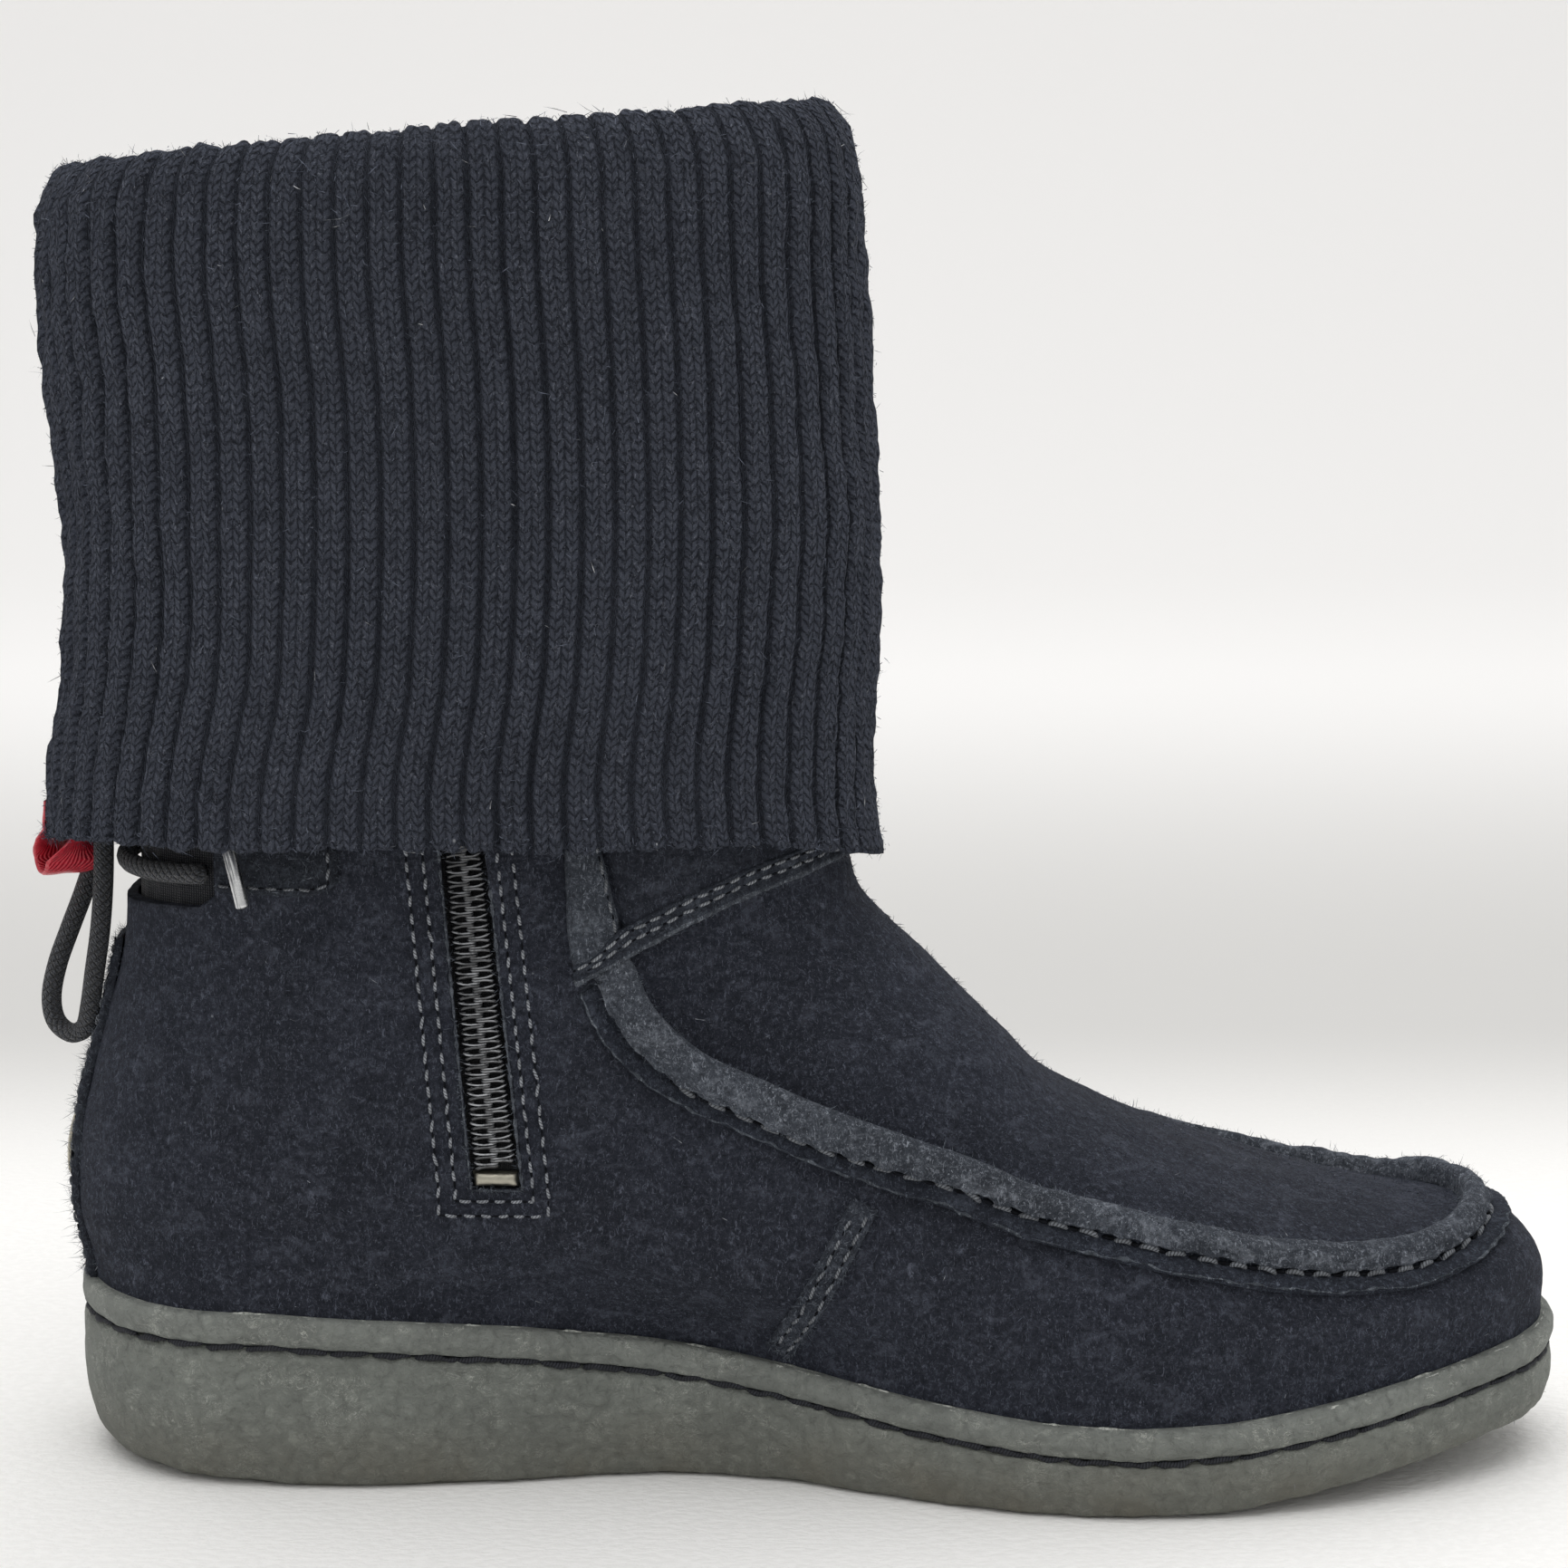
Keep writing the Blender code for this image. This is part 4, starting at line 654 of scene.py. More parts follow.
def rubber_look(name, base, scratch=0.4):
    """Matt crepe rubber: soft mottling, small crinkles with pale rims, and dust with painted shade along its foot,
    darker and browner towards the bottom.
    """
    look = Look(name, 0.70, Specular_IOR_Level=0.35)
    cloud = look.noise(60, 4, 0.6, distortion=0.4)
    pebble = look.noise(430, 5, 0.8, distortion=0.8)
    crinkle = look.noise(1.0, 4, 0.7, at=look.stretched((300, 300, 480)), distortion=1.8)
    rim = look.step(look.math("ABSOLUTE", look.math("SUBTRACT", crinkle, 0.5)), 0.020, 0.0)
    rim = look.math("MULTIPLY", rim, look.step(look.noise(130, 3, 0.7), 0.48, 0.60))
    darker = tuple(0.80 * v for v in base[:3]) + (1.0,)
    tone = look.mix(look.step(cloud, 0.30, 0.70), darker, base)
    tone = look.mix(look.step(pebble, 0.50, 0.36, 0.0, 0.55), tone, tuple(0.5 * v for v in base[:3]) + (1.0,))
    tone = look.mix(look.step(pebble, 0.53, 0.66, 0.0, 0.45), tone, srgb(158, 162, 154))
    tone = look.mix(look.math("MULTIPLY", rim, scratch), tone, srgb(190, 192, 184))
    # Dust and painted shade: the lowest 18 mm is mixed towards a darker, browner colour, in patches.
    height_up = look.node("SeparateXYZ", Vector=look.places).outputs["Z"]
    dust_and_painted_shade = look.math("MULTIPLY", look.step(height_up, 0.018, 0.0), look.step(cloud, 0.35, 0.75, 0.35, 0.85))
    tone = look.mix(dust_and_painted_shade, tone, srgb(108, 104, 92))
    height = look.math("ADD", look.math("MULTIPLY", pebble, 1.0), look.math("MULTIPLY", crinkle, 0.8))
    rough = look.step(pebble, 0.4, 0.6, 0.60, 0.80)
    return look.finish(tone, look.bump(height, 0.0013, 0.9), rough)


def thread_look(name, base):
    """Twisted thread: the UV map runs round it and along it in metres."""
    look = Look(name, 0.7, Specular_IOR_Level=0.35)
    axes = look.node("SeparateXYZ", Vector=look.node("UVMap").outputs["UV"])
    turns = look.math("ADD", axes.outputs["X"], look.math("MULTIPLY", axes.outputs["Y"], 900.0))
    strand = look.math("FRACT", look.math("MULTIPLY", turns, 2.0))
    strand = look.math("ABSOLUTE", look.math("SUBTRACT", strand, 0.5))
    ply = look.step(strand, 0.0, 0.28)
    fibre = look.noise(2500, 2, 0.7)
    dull = look.noise(420, 2, 0.6)
    tone = look.mix(ply, tuple(0.30 * v for v in base[:3]) + (1.0,), base)
    tone = look.mix(look.step(dull, 0.40, 0.66, 0.0, 0.55), tone, tuple(0.45 * v for v in base[:3]) + (1.0,))
    height = look.math("ADD", ply, look.math("MULTIPLY", fibre, 0.4))
    return look.finish(tone, look.bump(height, 0.0003, 0.8))


def cloth_look(name, base, scale, roughness=0.95):
    """Fine woven or felted cloth."""
    look = Look(name, roughness, Sheen_Weight=0.2, Specular_IOR_Level=0.2)
    over = look.node("TexWave", [("bands_direction", "X")], Scale=scale, Distortion=1.2, Vector=look.places)
    under = look.node("TexWave", [("bands_direction", "Z")], Scale=scale, Distortion=1.2, Vector=look.places)
    weave = look.math("MULTIPLY", over.outputs["Fac"], under.outputs["Fac"])
    fibre = look.noise(1800, 3, 0.7)
    height = look.math("ADD", weave, look.math("MULTIPLY", fibre, 0.6))
    tone = look.mix(look.step(height, 0.2, 1.1), tuple(0.55 * v for v in base[:3]) + (1.0,), base)
    return look.finish(tone, look.bump(height, 0.0004, 0.7))


def metal_look(name, base, roughness=0.35, grain=0.5, painted_reflection=None):
    """Worn metal. The last argument is the darker colour of streaks painted along the UV map, a painted reflection.
    """
    look = Look(name, roughness, 1.0)
    brushed = look.noise(1.0, 3, 0.7, at=look.stretched((500, 2500, 2500)))
    wear = look.noise(300, 3, 0.7)
    tone = look.mix(look.step(wear, 0.35, 0.7, 0.0, 0.5), base, tuple(0.55 * v for v in base[:3]) + (1.0,))
    # Painted reflection: dark streaks along the metal stand in for the dark surroundings that it mirrors.
    if painted_reflection is not None:
        axes = look.node("SeparateXYZ", Vector=look.node("UVMap").outputs["UV"])
        place = look.node("CombineXYZ", X=look.math("MULTIPLY", axes.outputs["X"], 7.0),
                          Y=look.math("MULTIPLY", axes.outputs["Y"], 60.0))
        band = look.noise(1.0, 3, 0.6, at=place.outputs["Vector"])
        tone = look.mix(look.step(band, 0.42, 0.56), painted_reflection, tone)
    rough = look.step(brushed, 0.3, 0.7, roughness - 0.08, roughness + 0.15)
    return look.finish(tone, look.bump(brushed, 0.0001, grain), rough)


def cord_look():
    """Braided cord: the UV map runs round the cord and along it, in strands."""
    look = Look("cord_braid", 0.75, Specular_IOR_Level=0.4, Sheen_Weight=0.15)
    axes = look.node("SeparateXYZ", Vector=look.node("UVMap").outputs["UV"])
    wobble = look.math("MULTIPLY", look.math("SUBTRACT", look.noise(700, 2, 0.6), 0.5), 0.5)
    across = look.math("ADD", axes.outputs["X"], wobble)
    one = look.math("FRACT", look.math("ADD", across, axes.outputs["Y"]))
    one = look.math("ABSOLUTE", look.math("SUBTRACT", one, 0.5))
    two = look.math("FRACT", look.math("SUBTRACT", across, axes.outputs["Y"]))
    two = look.math("ABSOLUTE", look.math("SUBTRACT", two, 0.5))
    braid = look.step(look.math("MAXIMUM", one, two), 0.5, 0.28)
    over = look.step(look.math("SUBTRACT", one, two), -0.1, 0.1, 0.55, 1.0)
    braid = look.math("MULTIPLY", braid, over)
    fibre = look.noise(2200, 3, 0.8)
    tone = look.mix(braid, srgb(14, 15, 18), srgb(58, 61, 68))
    tone = look.mix(look.step(fibre, 0.52, 0.68, 0.0, 0.7), tone, srgb(98, 102, 110))
    relief = look.math("ADD", braid, look.math("MULTIPLY", fibre, 0.4))
    return look.finish(tone, look.bump(relief, 0.0007, 1.0))


def quads_of(rings, around, closed_around=True, closed_along=False):
    """Corner numbers of the quads between neighbouring rings."""
    last = rings if closed_along else rings - 1
    ring, k = np.meshgrid(np.arange(last), np.arange(around if closed_around else around - 1), indexing="ij")
    here, there, after = ring * around, (ring + 1) % rings * around, (k + 1) % around
    return np.stack([here + k, here + after, there + after, there + k], -1).reshape(-1, 4)


def piece(name, points, faces, finish, stands_for=(), uv=None, placed=False, flat=False, flip=False):
    """A mesh piece of the boot. faces is an array of quads, or a list of faces of any size."""
    points = np.asarray(points, float).reshape(-1, 3)
    if not placed:
        points = points + PLACE
    mesh = bpy.data.meshes.new(name)
    if isinstance(faces, np.ndarray):
        if flip:
            faces = faces[:, ::-1]
        mesh.vertices.add(len(points))
        mesh.vertices.foreach_set("co", points.astype(np.float32).ravel())
        mesh.loops.add(faces.size)
        mesh.loops.foreach_set("vertex_index", faces.astype(np.int32).ravel())
        mesh.polygons.add(len(faces))
        mesh.polygons.foreach_set("loop_start", np.arange(0, faces.size, faces.shape[1], dtype=np.int32))
        mesh.update(calc_edges=True)
    else:
        mesh.from_pydata([tuple(point) for point in points], [], faces)
    if uv is not None:
        corner = np.empty(len(mesh.loops), np.int32)
        mesh.loops.foreach_get("vertex_index", corner)
        layer = mesh.uv_layers.new(name="UVMap")
        layer.data.foreach_set("uv", np.asarray(uv, np.float32).reshape(-1, 2)[corner].ravel())
    mesh.validate()
    if not flat:
        mesh.shade_smooth()
    mesh.materials.append(finish)
    made = bpy.data.objects.new(name, mesh)
    bpy.context.scene.collection.objects.link(made)
    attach(made, "root")
    if stands_for:
        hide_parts(*stands_for)
    return made


def grid_normals(points, closed_around=False):
    """Unit normals of a grid of points, by its own neighbours."""
    if closed_around:
        along_ring = np.roll(points, -1, axis=1) - np.roll(points, 1, axis=1)
    else:
        along_ring = np.gradient(points, axis=1)
    normal = np.cross(np.gradient(points, axis=0), along_ring)
    return normal / np.maximum(np.linalg.norm(normal, axis=-1, keepdims=True), 1e-12)


def waves(points, size, seed, octaves=3):
    """Smooth random values from about -1 to 1 at points in space, with features of this size."""
    made = np.random.default_rng(seed)
    total = np.zeros(points.shape[:-1])
    for octave in range(octaves):
        for _ in range(6):
            direction = made.normal(size=3)
            direction *= 2 * math.pi * 2**octave / (size * np.linalg.norm(direction)) * made.uniform(0.6, 1.3)
            total += np.sin(points @ direction + made.uniform(0, 2 * math.pi)) / (6**0.5 * 1.6**octave)
    return total * 0.8


def along(points):
    """Distance along a line of points from its start."""
    return np.concatenate([[0], np.cumsum(np.linalg.norm(np.diff(points, axis=0), axis=1))])


def even(points, spacing=None, count=None):
    """The line of points read again at even distances."""
    lengths = along(points)
    count = count or max(2, round(lengths[-1] / spacing) + 1)
    at = np.linspace(0, lengths[-1], count)
    return np.stack([np.interp(at, lengths, points[:, axis]) for axis in range(points.shape[1])], -1)


def tube(path, radius, around=8, roll=0.0):
    """(points, quads, uv) of a tube along a path: radius may differ from point to point. It has no end caps
    where its radius shrinks to nothing there."""
    radius = np.broadcast_to(np.asarray(radius, float), (len(path),))
    ahead = np.gradient(path, axis=0)
    ahead /= np.linalg.norm(ahead, axis=1, keepdims=True)
    side = np.cross(ahead[0], (0.0, 0.0, 1.0) if abs(ahead[0][2]) < 0.9 else (1.0, 0.0, 0.0))
    rings = []
    lengths = along(path)
    uvs = []
    for point, forward, size, length in zip(path, ahead, radius, lengths):
        side = side - forward * (side @ forward)
        side /= np.linalg.norm(side)
        up = np.cross(forward, side)
        angle = np.arange(around + 1) * 2 * math.pi / around + roll * length
        rings.append(point + size * (np.cos(angle)[:, None] * side + np.sin(angle)[:, None] * up))
        uvs.append(np.stack([np.arange(around + 1) / around, np.full(around + 1, length)], -1))
    faces = quads_of(len(path), around + 1, closed_around=False)
    return np.array(rings).reshape(-1, 3), faces, np.array(uvs).reshape(-1, 2)


def joined(parts):
    """One set of (points, quads, uv) from several."""
    points, faces, uvs, start = [], [], [], 0
    for part in parts:
        points.append(part[0])
        faces.append(part[1] + start)
        uvs.append(part[2])
        start += len(part[0])
    return np.concatenate(points), np.concatenate(faces), np.concatenate(uvs)


def stitch_row(row, turn, out, pitch, length, thick, start=0.0, keep=None):
    """Stitches along a path of (row, turn): short fat threads whose ends dive into the leather. Returns their
    mesh and that of the dark holes between them. keep says where along the path there are any."""
    path = on_last(row, turn, np.full(np.shape(row), 0.0))
    normal = last_frame(row, turn)[3]
    lengths = along(path)
    out = np.broadcast_to(out, lengths.shape)
    parts, holes = [], []
    at = start + pitch / 2
    while at < lengths[-1] - pitch / 2:
        jitter = rng.normal(0, 0.05 * pitch)
        size = length * rng.uniform(0.86, 1.08)
        slant = rng.normal(0, 0.06)
        if keep is None or keep(at, lengths[-1]):
            ends = at + jitter + np.linspace(-0.5, 0.5, 6) * size
            line = np.stack([np.interp(ends, lengths, path[:, axis]) for axis in range(3)], -1)
            up = np.stack([np.interp(ends, lengths, normal[:, axis]) for axis in range(3)], -1)
            lift = np.interp(ends, lengths, out) + thick * np.array([-0.75, 0.20, 0.40, 0.40, 0.20, -0.75])
            ahead = line[-1] - line[0]
            beside = np.cross(ahead, up[2])
            line = line + up * lift[:, None] + beside * (slant * np.linspace(-1, 1, 6))[:, None]
            girth = thick / 2 * np.array([0.55, 0.95, 1.0, 1.0, 0.95, 0.55])
            parts.append(tube(line, girth, 6))
            ends = at + jitter + size / 2 + np.linspace(0.0, 1.0, 4) * max(pitch - size, 0.0003)
            line = np.stack([np.interp(ends, lengths, path[:, axis]) for axis in range(3)], -1)
            up = np.stack([np.interp(ends, lengths, normal[:, axis]) for axis in range(3)], -1)
            line = line + up * (np.interp(ends, lengths, out) + thick * 0.02)[:, None]
            holes.append(tube(line, thick * np.array([0.20, 0.36, 0.36, 0.20]), 6))
        at += pitch
    return joined(parts), joined(holes)


def fine_sheet(name, row, turn, low, high, finish, stands_for=(), ragged=0.00012, edge=0.0007, seed=1):
    """A sheet over a fine grid of (row, turn), with a rounded, slightly uneven edge. low and high are its
    undersides and its tops above the last, as one number or a grid of them."""
    base = on_last(row, turn, np.zeros(row.shape))
    normal = last_frame(row, turn)[3]
    down, across = row.shape
    low = np.broadcast_to(low, row.shape)
    high = np.broadcast_to(high, row.shape)
    lengths_down = np.cumsum(np.linalg.norm(np.diff(base, axis=0), axis=2), 0)
    lengths_down = np.concatenate([np.zeros((1, across)), lengths_down])
    lengths_across = np.cumsum(np.linalg.norm(np.diff(base, axis=1), axis=2), 1)
    lengths_across = np.concatenate([np.zeros((down, 1)), lengths_across], 1)
    to_edge = np.minimum.reduce(
        [
            lengths_down, lengths_down[-1:] - lengths_down,
            lengths_across, lengths_across[:, -1:] - lengths_across,
        ]
    )
    round_off = np.sqrt(np.clip(1 - (1 - np.clip(to_edge / edge, 0, 1)) ** 2, 0, 1))
    top = low + 0.25 * (high - low) + 0.75 * (high - low) * round_off + ragged * waves(base, 0.006, seed)
    points = np.stack([base + normal * top[..., None], base + normal * low[..., None]])
    size = down * across
    faces = [quads_of(down, across, closed_around=False)]
    rim = list(range(across)) + [i * across + across - 1 for i in range(1, down)]
    rim += [(down - 1) * across + j for j in range(across - 2, -1, -1)]
    rim += [i * across for i in range(down - 2, 0, -1)]
    rim = np.array(rim)
    after = np.roll(rim, -1)
    faces.append(np.stack([rim, rim + size, after + size, after], -1))
    return piece(name, points.reshape(-1, 3), np.concatenate(faces), finish, stands_for)


# Soft creases of the suede: (row, turn in degrees) along each, then its depth and half width in metres.
# A negative depth is a ridge.
CREASES = (
    (((11.2, 0), (11.6, 25), (12.1, 48)), 0.0007, 0.0045),
    (((12.6, -12), (12.3, 14), (12.4, 40)), -0.0006, 0.0040),
    (((9.9, 6), (10.3, 30), (11.0, 52)), 0.0005, 0.0045),
    (((8.4, -20), (8.6, 8), (9.3, 36)), -0.0005, 0.0050),
    (((12.9, 82), (13.4, 100), (14.6, 118)), 0.0006, 0.0050),
    (((11.2, 84), (11.8, 104), (12.6, 124)), -0.0005, 0.0055),
    (((8.3, 84), (9.0, 96), (9.4, 110)), 0.0005, 0.0045),
    (((11.6, -88), (12.6, -104), (13.8, -120)), 0.0006, 0.0055),
    (((15.6, 108), (16.4, 122), (16.8, 142)), 0.0005, 0.0045),
    (((16.2, -104), (16.6, -126), (17.2, -142)), 0.0005, 0.0045),
    (((6.6, 84), (7.4, 96), (8.0, 112)), -0.0004, 0.0050),
    (((5.0, 12), (5.4, -10), (5.2, -26)), 0.0004, 0.0060),
)


def creased(points):
    """How far the suede stands out at these points: shallow waves and the creases."""
    out = 0.00022 * waves(points, 0.030, 3, 2) + 0.00008 * waves(points, 0.006, 4, 2)
    for route, depth, width in CREASES:
        line = np.array([last_point(row, math.radians(turn)) for row, turn in route])
        line = np.vstack([2 * line[0] - line[1], line, 2 * line[-1] - line[-2]])
        line = even(smooth(line, np.linspace(0, 2, 40)), count=24)
        away = np.full(points.shape[:-1], 1e9)
        share = np.zeros(points.shape[:-1])
        for k, point in enumerate(line):
            gap = ((points - point) ** 2).sum(-1)
            closer = gap < away
            away = np.where(closer, gap, away)
            share = np.where(closer, k / (len(line) - 1), share)
        fade = np.sin(math.pi * np.clip(share * 0.9 + 0.05, 0, 1)) ** 0.7
        out -= depth * fade * np.exp(-away / width**2)
    return out


def upper_skin():
    """The suede upper as one wall, cut open for the zip and the heel window."""
    rows = np.concatenate([np.linspace(0, 1, 9)[:-1], np.linspace(1, COLLAR, 135)])
    turns = np.arange(196) * 2 * math.pi / 196
    row, turn = np.meshgrid(rows, turns, indexing="ij")
    point, _, _, normal = last_frame(row, turn)
    outer = point + normal * creased(point)[..., None]
    inner = point - normal * WALL
    for face in (outer, inner):
        face[0, :, 1] = point[0, 0, 1]
        back = face[0, 1:][::-1]
        face[0, 1:] = (face[0, 1:] + back) / 2
    rings = np.concatenate([outer, inner[::-1]])
    made = piece(
        "suede_upper",
        rings,
        quads_of(len(rings), len(turns)),
        suede("suede_nap", srgb(44, 47, 57), srgb(88, 92, 104)),
        ["upper"],
    )
    head_x, head_z = zip_line(1.2)
    slot = (
        (ZIP_FOOT[0] - ZIP_SLOT_FOOT_WIDTH / 2, ZIP_FOOT[1]),
        (ZIP_FOOT[0] + ZIP_SLOT_FOOT_WIDTH / 2, ZIP_FOOT[1]),
        (head_x + ZIP_SLOT_HEAD_WIDTH / 2, head_z),
        (head_x - ZIP_SLOT_HEAD_WIDTH / 2, head_z),
    )
    window = (
        (-0.02, WINDOW_FOOT - 0.0012),
        (WINDOW_FRONT - 0.003, WINDOW_FOOT + 0.0008),
        (WINDOW_FRONT, WINDOW_FOOT + 0.003),
        (WINDOW_FRONT, WINDOW_FOOT + WINDOW_HEIGHT - 0.003),
        (WINDOW_FRONT - 0.003, WINDOW_FOOT + WINDOW_HEIGHT),
        (-0.02, WINDOW_FOOT + WINDOW_HEIGHT),
    )
    helpers = []
    for name, outline, near, far in (("slot", slot, -0.06, -0.015), ("window", window, -0.06, 0.06)):
        helpers.append(cutting(made, name, outline, near, far))
    return applied(made, *helpers)


def cutting(target, name, outline, near, far):
    """A hidden prism that cuts the target: an (x, z) outline drawn out along Y."""
    count = len(outline)
    points = np.array([(x, y, z) for y in (near, far) for x, z in outline]) + PLACE
    faces = [tuple(range(count)), tuple(range(2 * count - 1, count - 1, -1))]
    faces += [(k, k + count, (k + 1) % count + count, (k + 1) % count) for k in range(count)]
    mesh = bpy.data.meshes.new("cutter_" + name)
    mesh.from_pydata([tuple(point) for point in points], [], faces)
    made = bpy.data.objects.new("cutter_" + name, mesh)
    bpy.context.scene.collection.objects.link(made)
    made.hide_render = True
    made.hide_viewport = False
    made.display_type = "WIRE"
    boolean = target.modifiers.new(name, "BOOLEAN")
    boolean.object = made
    boolean.solver = "EXACT"
    return made


def applied(made, *helpers):
    """Bakes a piece's modifiers into its mesh and removes the helpers that they used."""
    graph = bpy.context.evaluated_depsgraph_get()
    baked = bpy.data.meshes.new_from_object(made.evaluated_get(graph))
    made.modifiers.clear()
    made.data = baked
    for helper in helpers:
        bpy.data.objects.remove(helper)
    return made


def knit_cuff():
    """The ribbed knit: outer layer, fold and inner layer, its ribs real and its stitches in the material."""
    samples = 16
    count = KNIT_RIBS * samples
    fine = np.linspace(0, 2 * math.pi, 4001)
    middle = cuff_point(np.full(fine.shape, 0.5), fine, 0.0)
    lengths = along(middle)
    turns = np.interp(np.arange(count) / count * lengths[-1], lengths, fine)
    both = CUFF_LAYER + CUFF_INNER_LAYER
    start = collar_share(turns)
    flat = np.ones(count)
    route = [
        (0.011 * flat, CUFF_LAYER * 0.92), (0.004 * flat, CUFF_LAYER * 0.66), (0.002 * flat, CUFF_LAYER * 0.33),
    ]
    route += [(share * flat, 0.0) for share in np.concatenate([[0.006], np.linspace(0.016, 0.93, 66)])]
    for k in range(1, 12):
        angle = math.pi * k / 12
        route.append(((0.93 + 0.07 * math.sin(angle)) * flat, both * (1 - math.cos(angle)) / 2))
    route += [(share * flat, both) for share in np.linspace(0.93, 0.55, 10)]
    route += [(0.55 + (start - 0.55) * share, both) for share in (0.4, 0.8, 1.0)]
    points = np.array([
        cuff_point(share, turns - RIB_LEAN * np.minimum(share, 0.93), inward) for share, inward in route
    ])
    normal = grid_normals(points, closed_around=True)
    outward = points[20] - points[20].mean(axis=0)
    if (normal[20] * outward).sum() < 0:
        normal = -normal
    lengths_up = np.cumsum(np.linalg.norm(np.diff(points, axis=0), axis=2), 0)
    lengths_up = np.concatenate([np.zeros((1, count)), lengths_up])
    phase = (np.arange(count) % samples) / samples
    place = np.clip(phase / RIB_SHARE, 0, 1)
    column = np.clip(1 - np.abs(2 * place - 1) ** 4.5, 0, 1) ** 0.5
    wale = np.abs(np.sin(2 * math.pi * place)) ** 0.6
    rib = np.where(phase < RIB_SHARE, column * (0.76 + 0.24 * wale), 0.0)
    soft = np.clip(np.minimum(lengths_up, 0.003) / 0.003, 0.35, 1)
    drift = waves(points * (1, 1, 0.25), 0.035, 11, 2)
    at_fold = np.exp(-(((points[..., 2] - cuff_top(points[..., 0])) / 0.008) ** 2))
    depth = 0.0014 * soft * (1 + 0.28 * drift) * (1 - 0.45 * at_fold)
    sway = 0.0005 * waves(points, 0.045, 12, 2) + 0.00030 * waves(points, 0.006, 13, 3)
    backward = np.exp(-((np.abs(turns - math.pi) / 0.75) ** 2))[None, :] * np.exp(-((lengths_up / 0.040) ** 2))
    lift = 0.0009 * at_fold * np.exp(-(((points[..., 0] - FOLD_MIDDLE) / 0.032) ** 2))
    points = points + normal * (depth * (rib[None, :] - 0.92) + sway - 0.0014 * backward + lift)[..., None]
    wale_place = np.where(phase < RIB_SHARE, 2 * place, 2 + (phase - RIB_SHARE) / (1 - RIB_SHARE))
    u = 3 * (np.arange(count) // samples) + wale_place
    u = np.repeat(np.append(u, 3 * KNIT_RIBS)[None, :], len(route), axis=0)
    v = np.concatenate([lengths_up, lengths_up[:, :1]], axis=1) / COURSE
    closed = np.concatenate([points, points[:, :1]], axis=1)
    return piece(
        "rib_cuff",
        closed,
        quads_of(len(route), count + 1, closed_around=False),
        knit_look(),
        ["knit_cuff"],
        uv=np.stack([u, v], -1),
    )


def knit_fuzz(cuff):
    """Loose fibres that stand off the knit, thicker along the folds and the hem."""
    centres, normals = faces_of(cuff)
    heights = centres[:, 2]
    near_edge = np.exp(-(((heights - cuff_top(0.0)) / 0.012) ** 2))
    near_edge = near_edge + np.exp(-(((heights - CUFF_HEM) / 0.006) ** 2))
    weight = 0.35 + near_edge
    chosen = rng.choice(len(centres), 42000, p=weight / weight.sum())
    base = centres[chosen] + rng.normal(0, 0.0004, (len(chosen), 3))
    colours = srgb(40, 44, 54), srgb(108, 114, 128)
    fibres("knit_fuzz", base, normals[chosen], 0.0014, 0.00012, 0.8, colours)
    lint = rng.choice(len(centres), 700, p=weight / weight.sum())
    colours = srgb(96, 98, 102), srgb(190, 192, 196)
    fibres("knit_lint", centres[lint], normals[lint], 0.0018, 0.00016, 0.30, colours)


def seam_path(steps):
    """(row, turn) along the apron seam, from under the lateral strap round the toe to under the medial one."""
    table = np.array(APRON_SEAM)
    last_step = table[-1] - table[-2]
    beyond = table[-1] + last_step / np.linalg.norm(last_step * (9.2, 1.44)) * SEAM_TUCK
    table = np.vstack([table, beyond + (0.0, 1.2)])
    rows = mirrored_ends(table, (1, -1), (-1, -1))
    half = smooth(rows, np.linspace(0, len(table) - 1, steps))
    path = np.vstack([half[:0:-1] * (1, -1), half])
    point = last_point(path[:, 0], np.radians(path[:, 1]))
    lengths = along(point)
    at = np.linspace(0, lengths[-1], len(path))
    return np.interp(at, lengths, path[:, 0]), np.radians(np.interp(at, lengths, path[:, 1]))


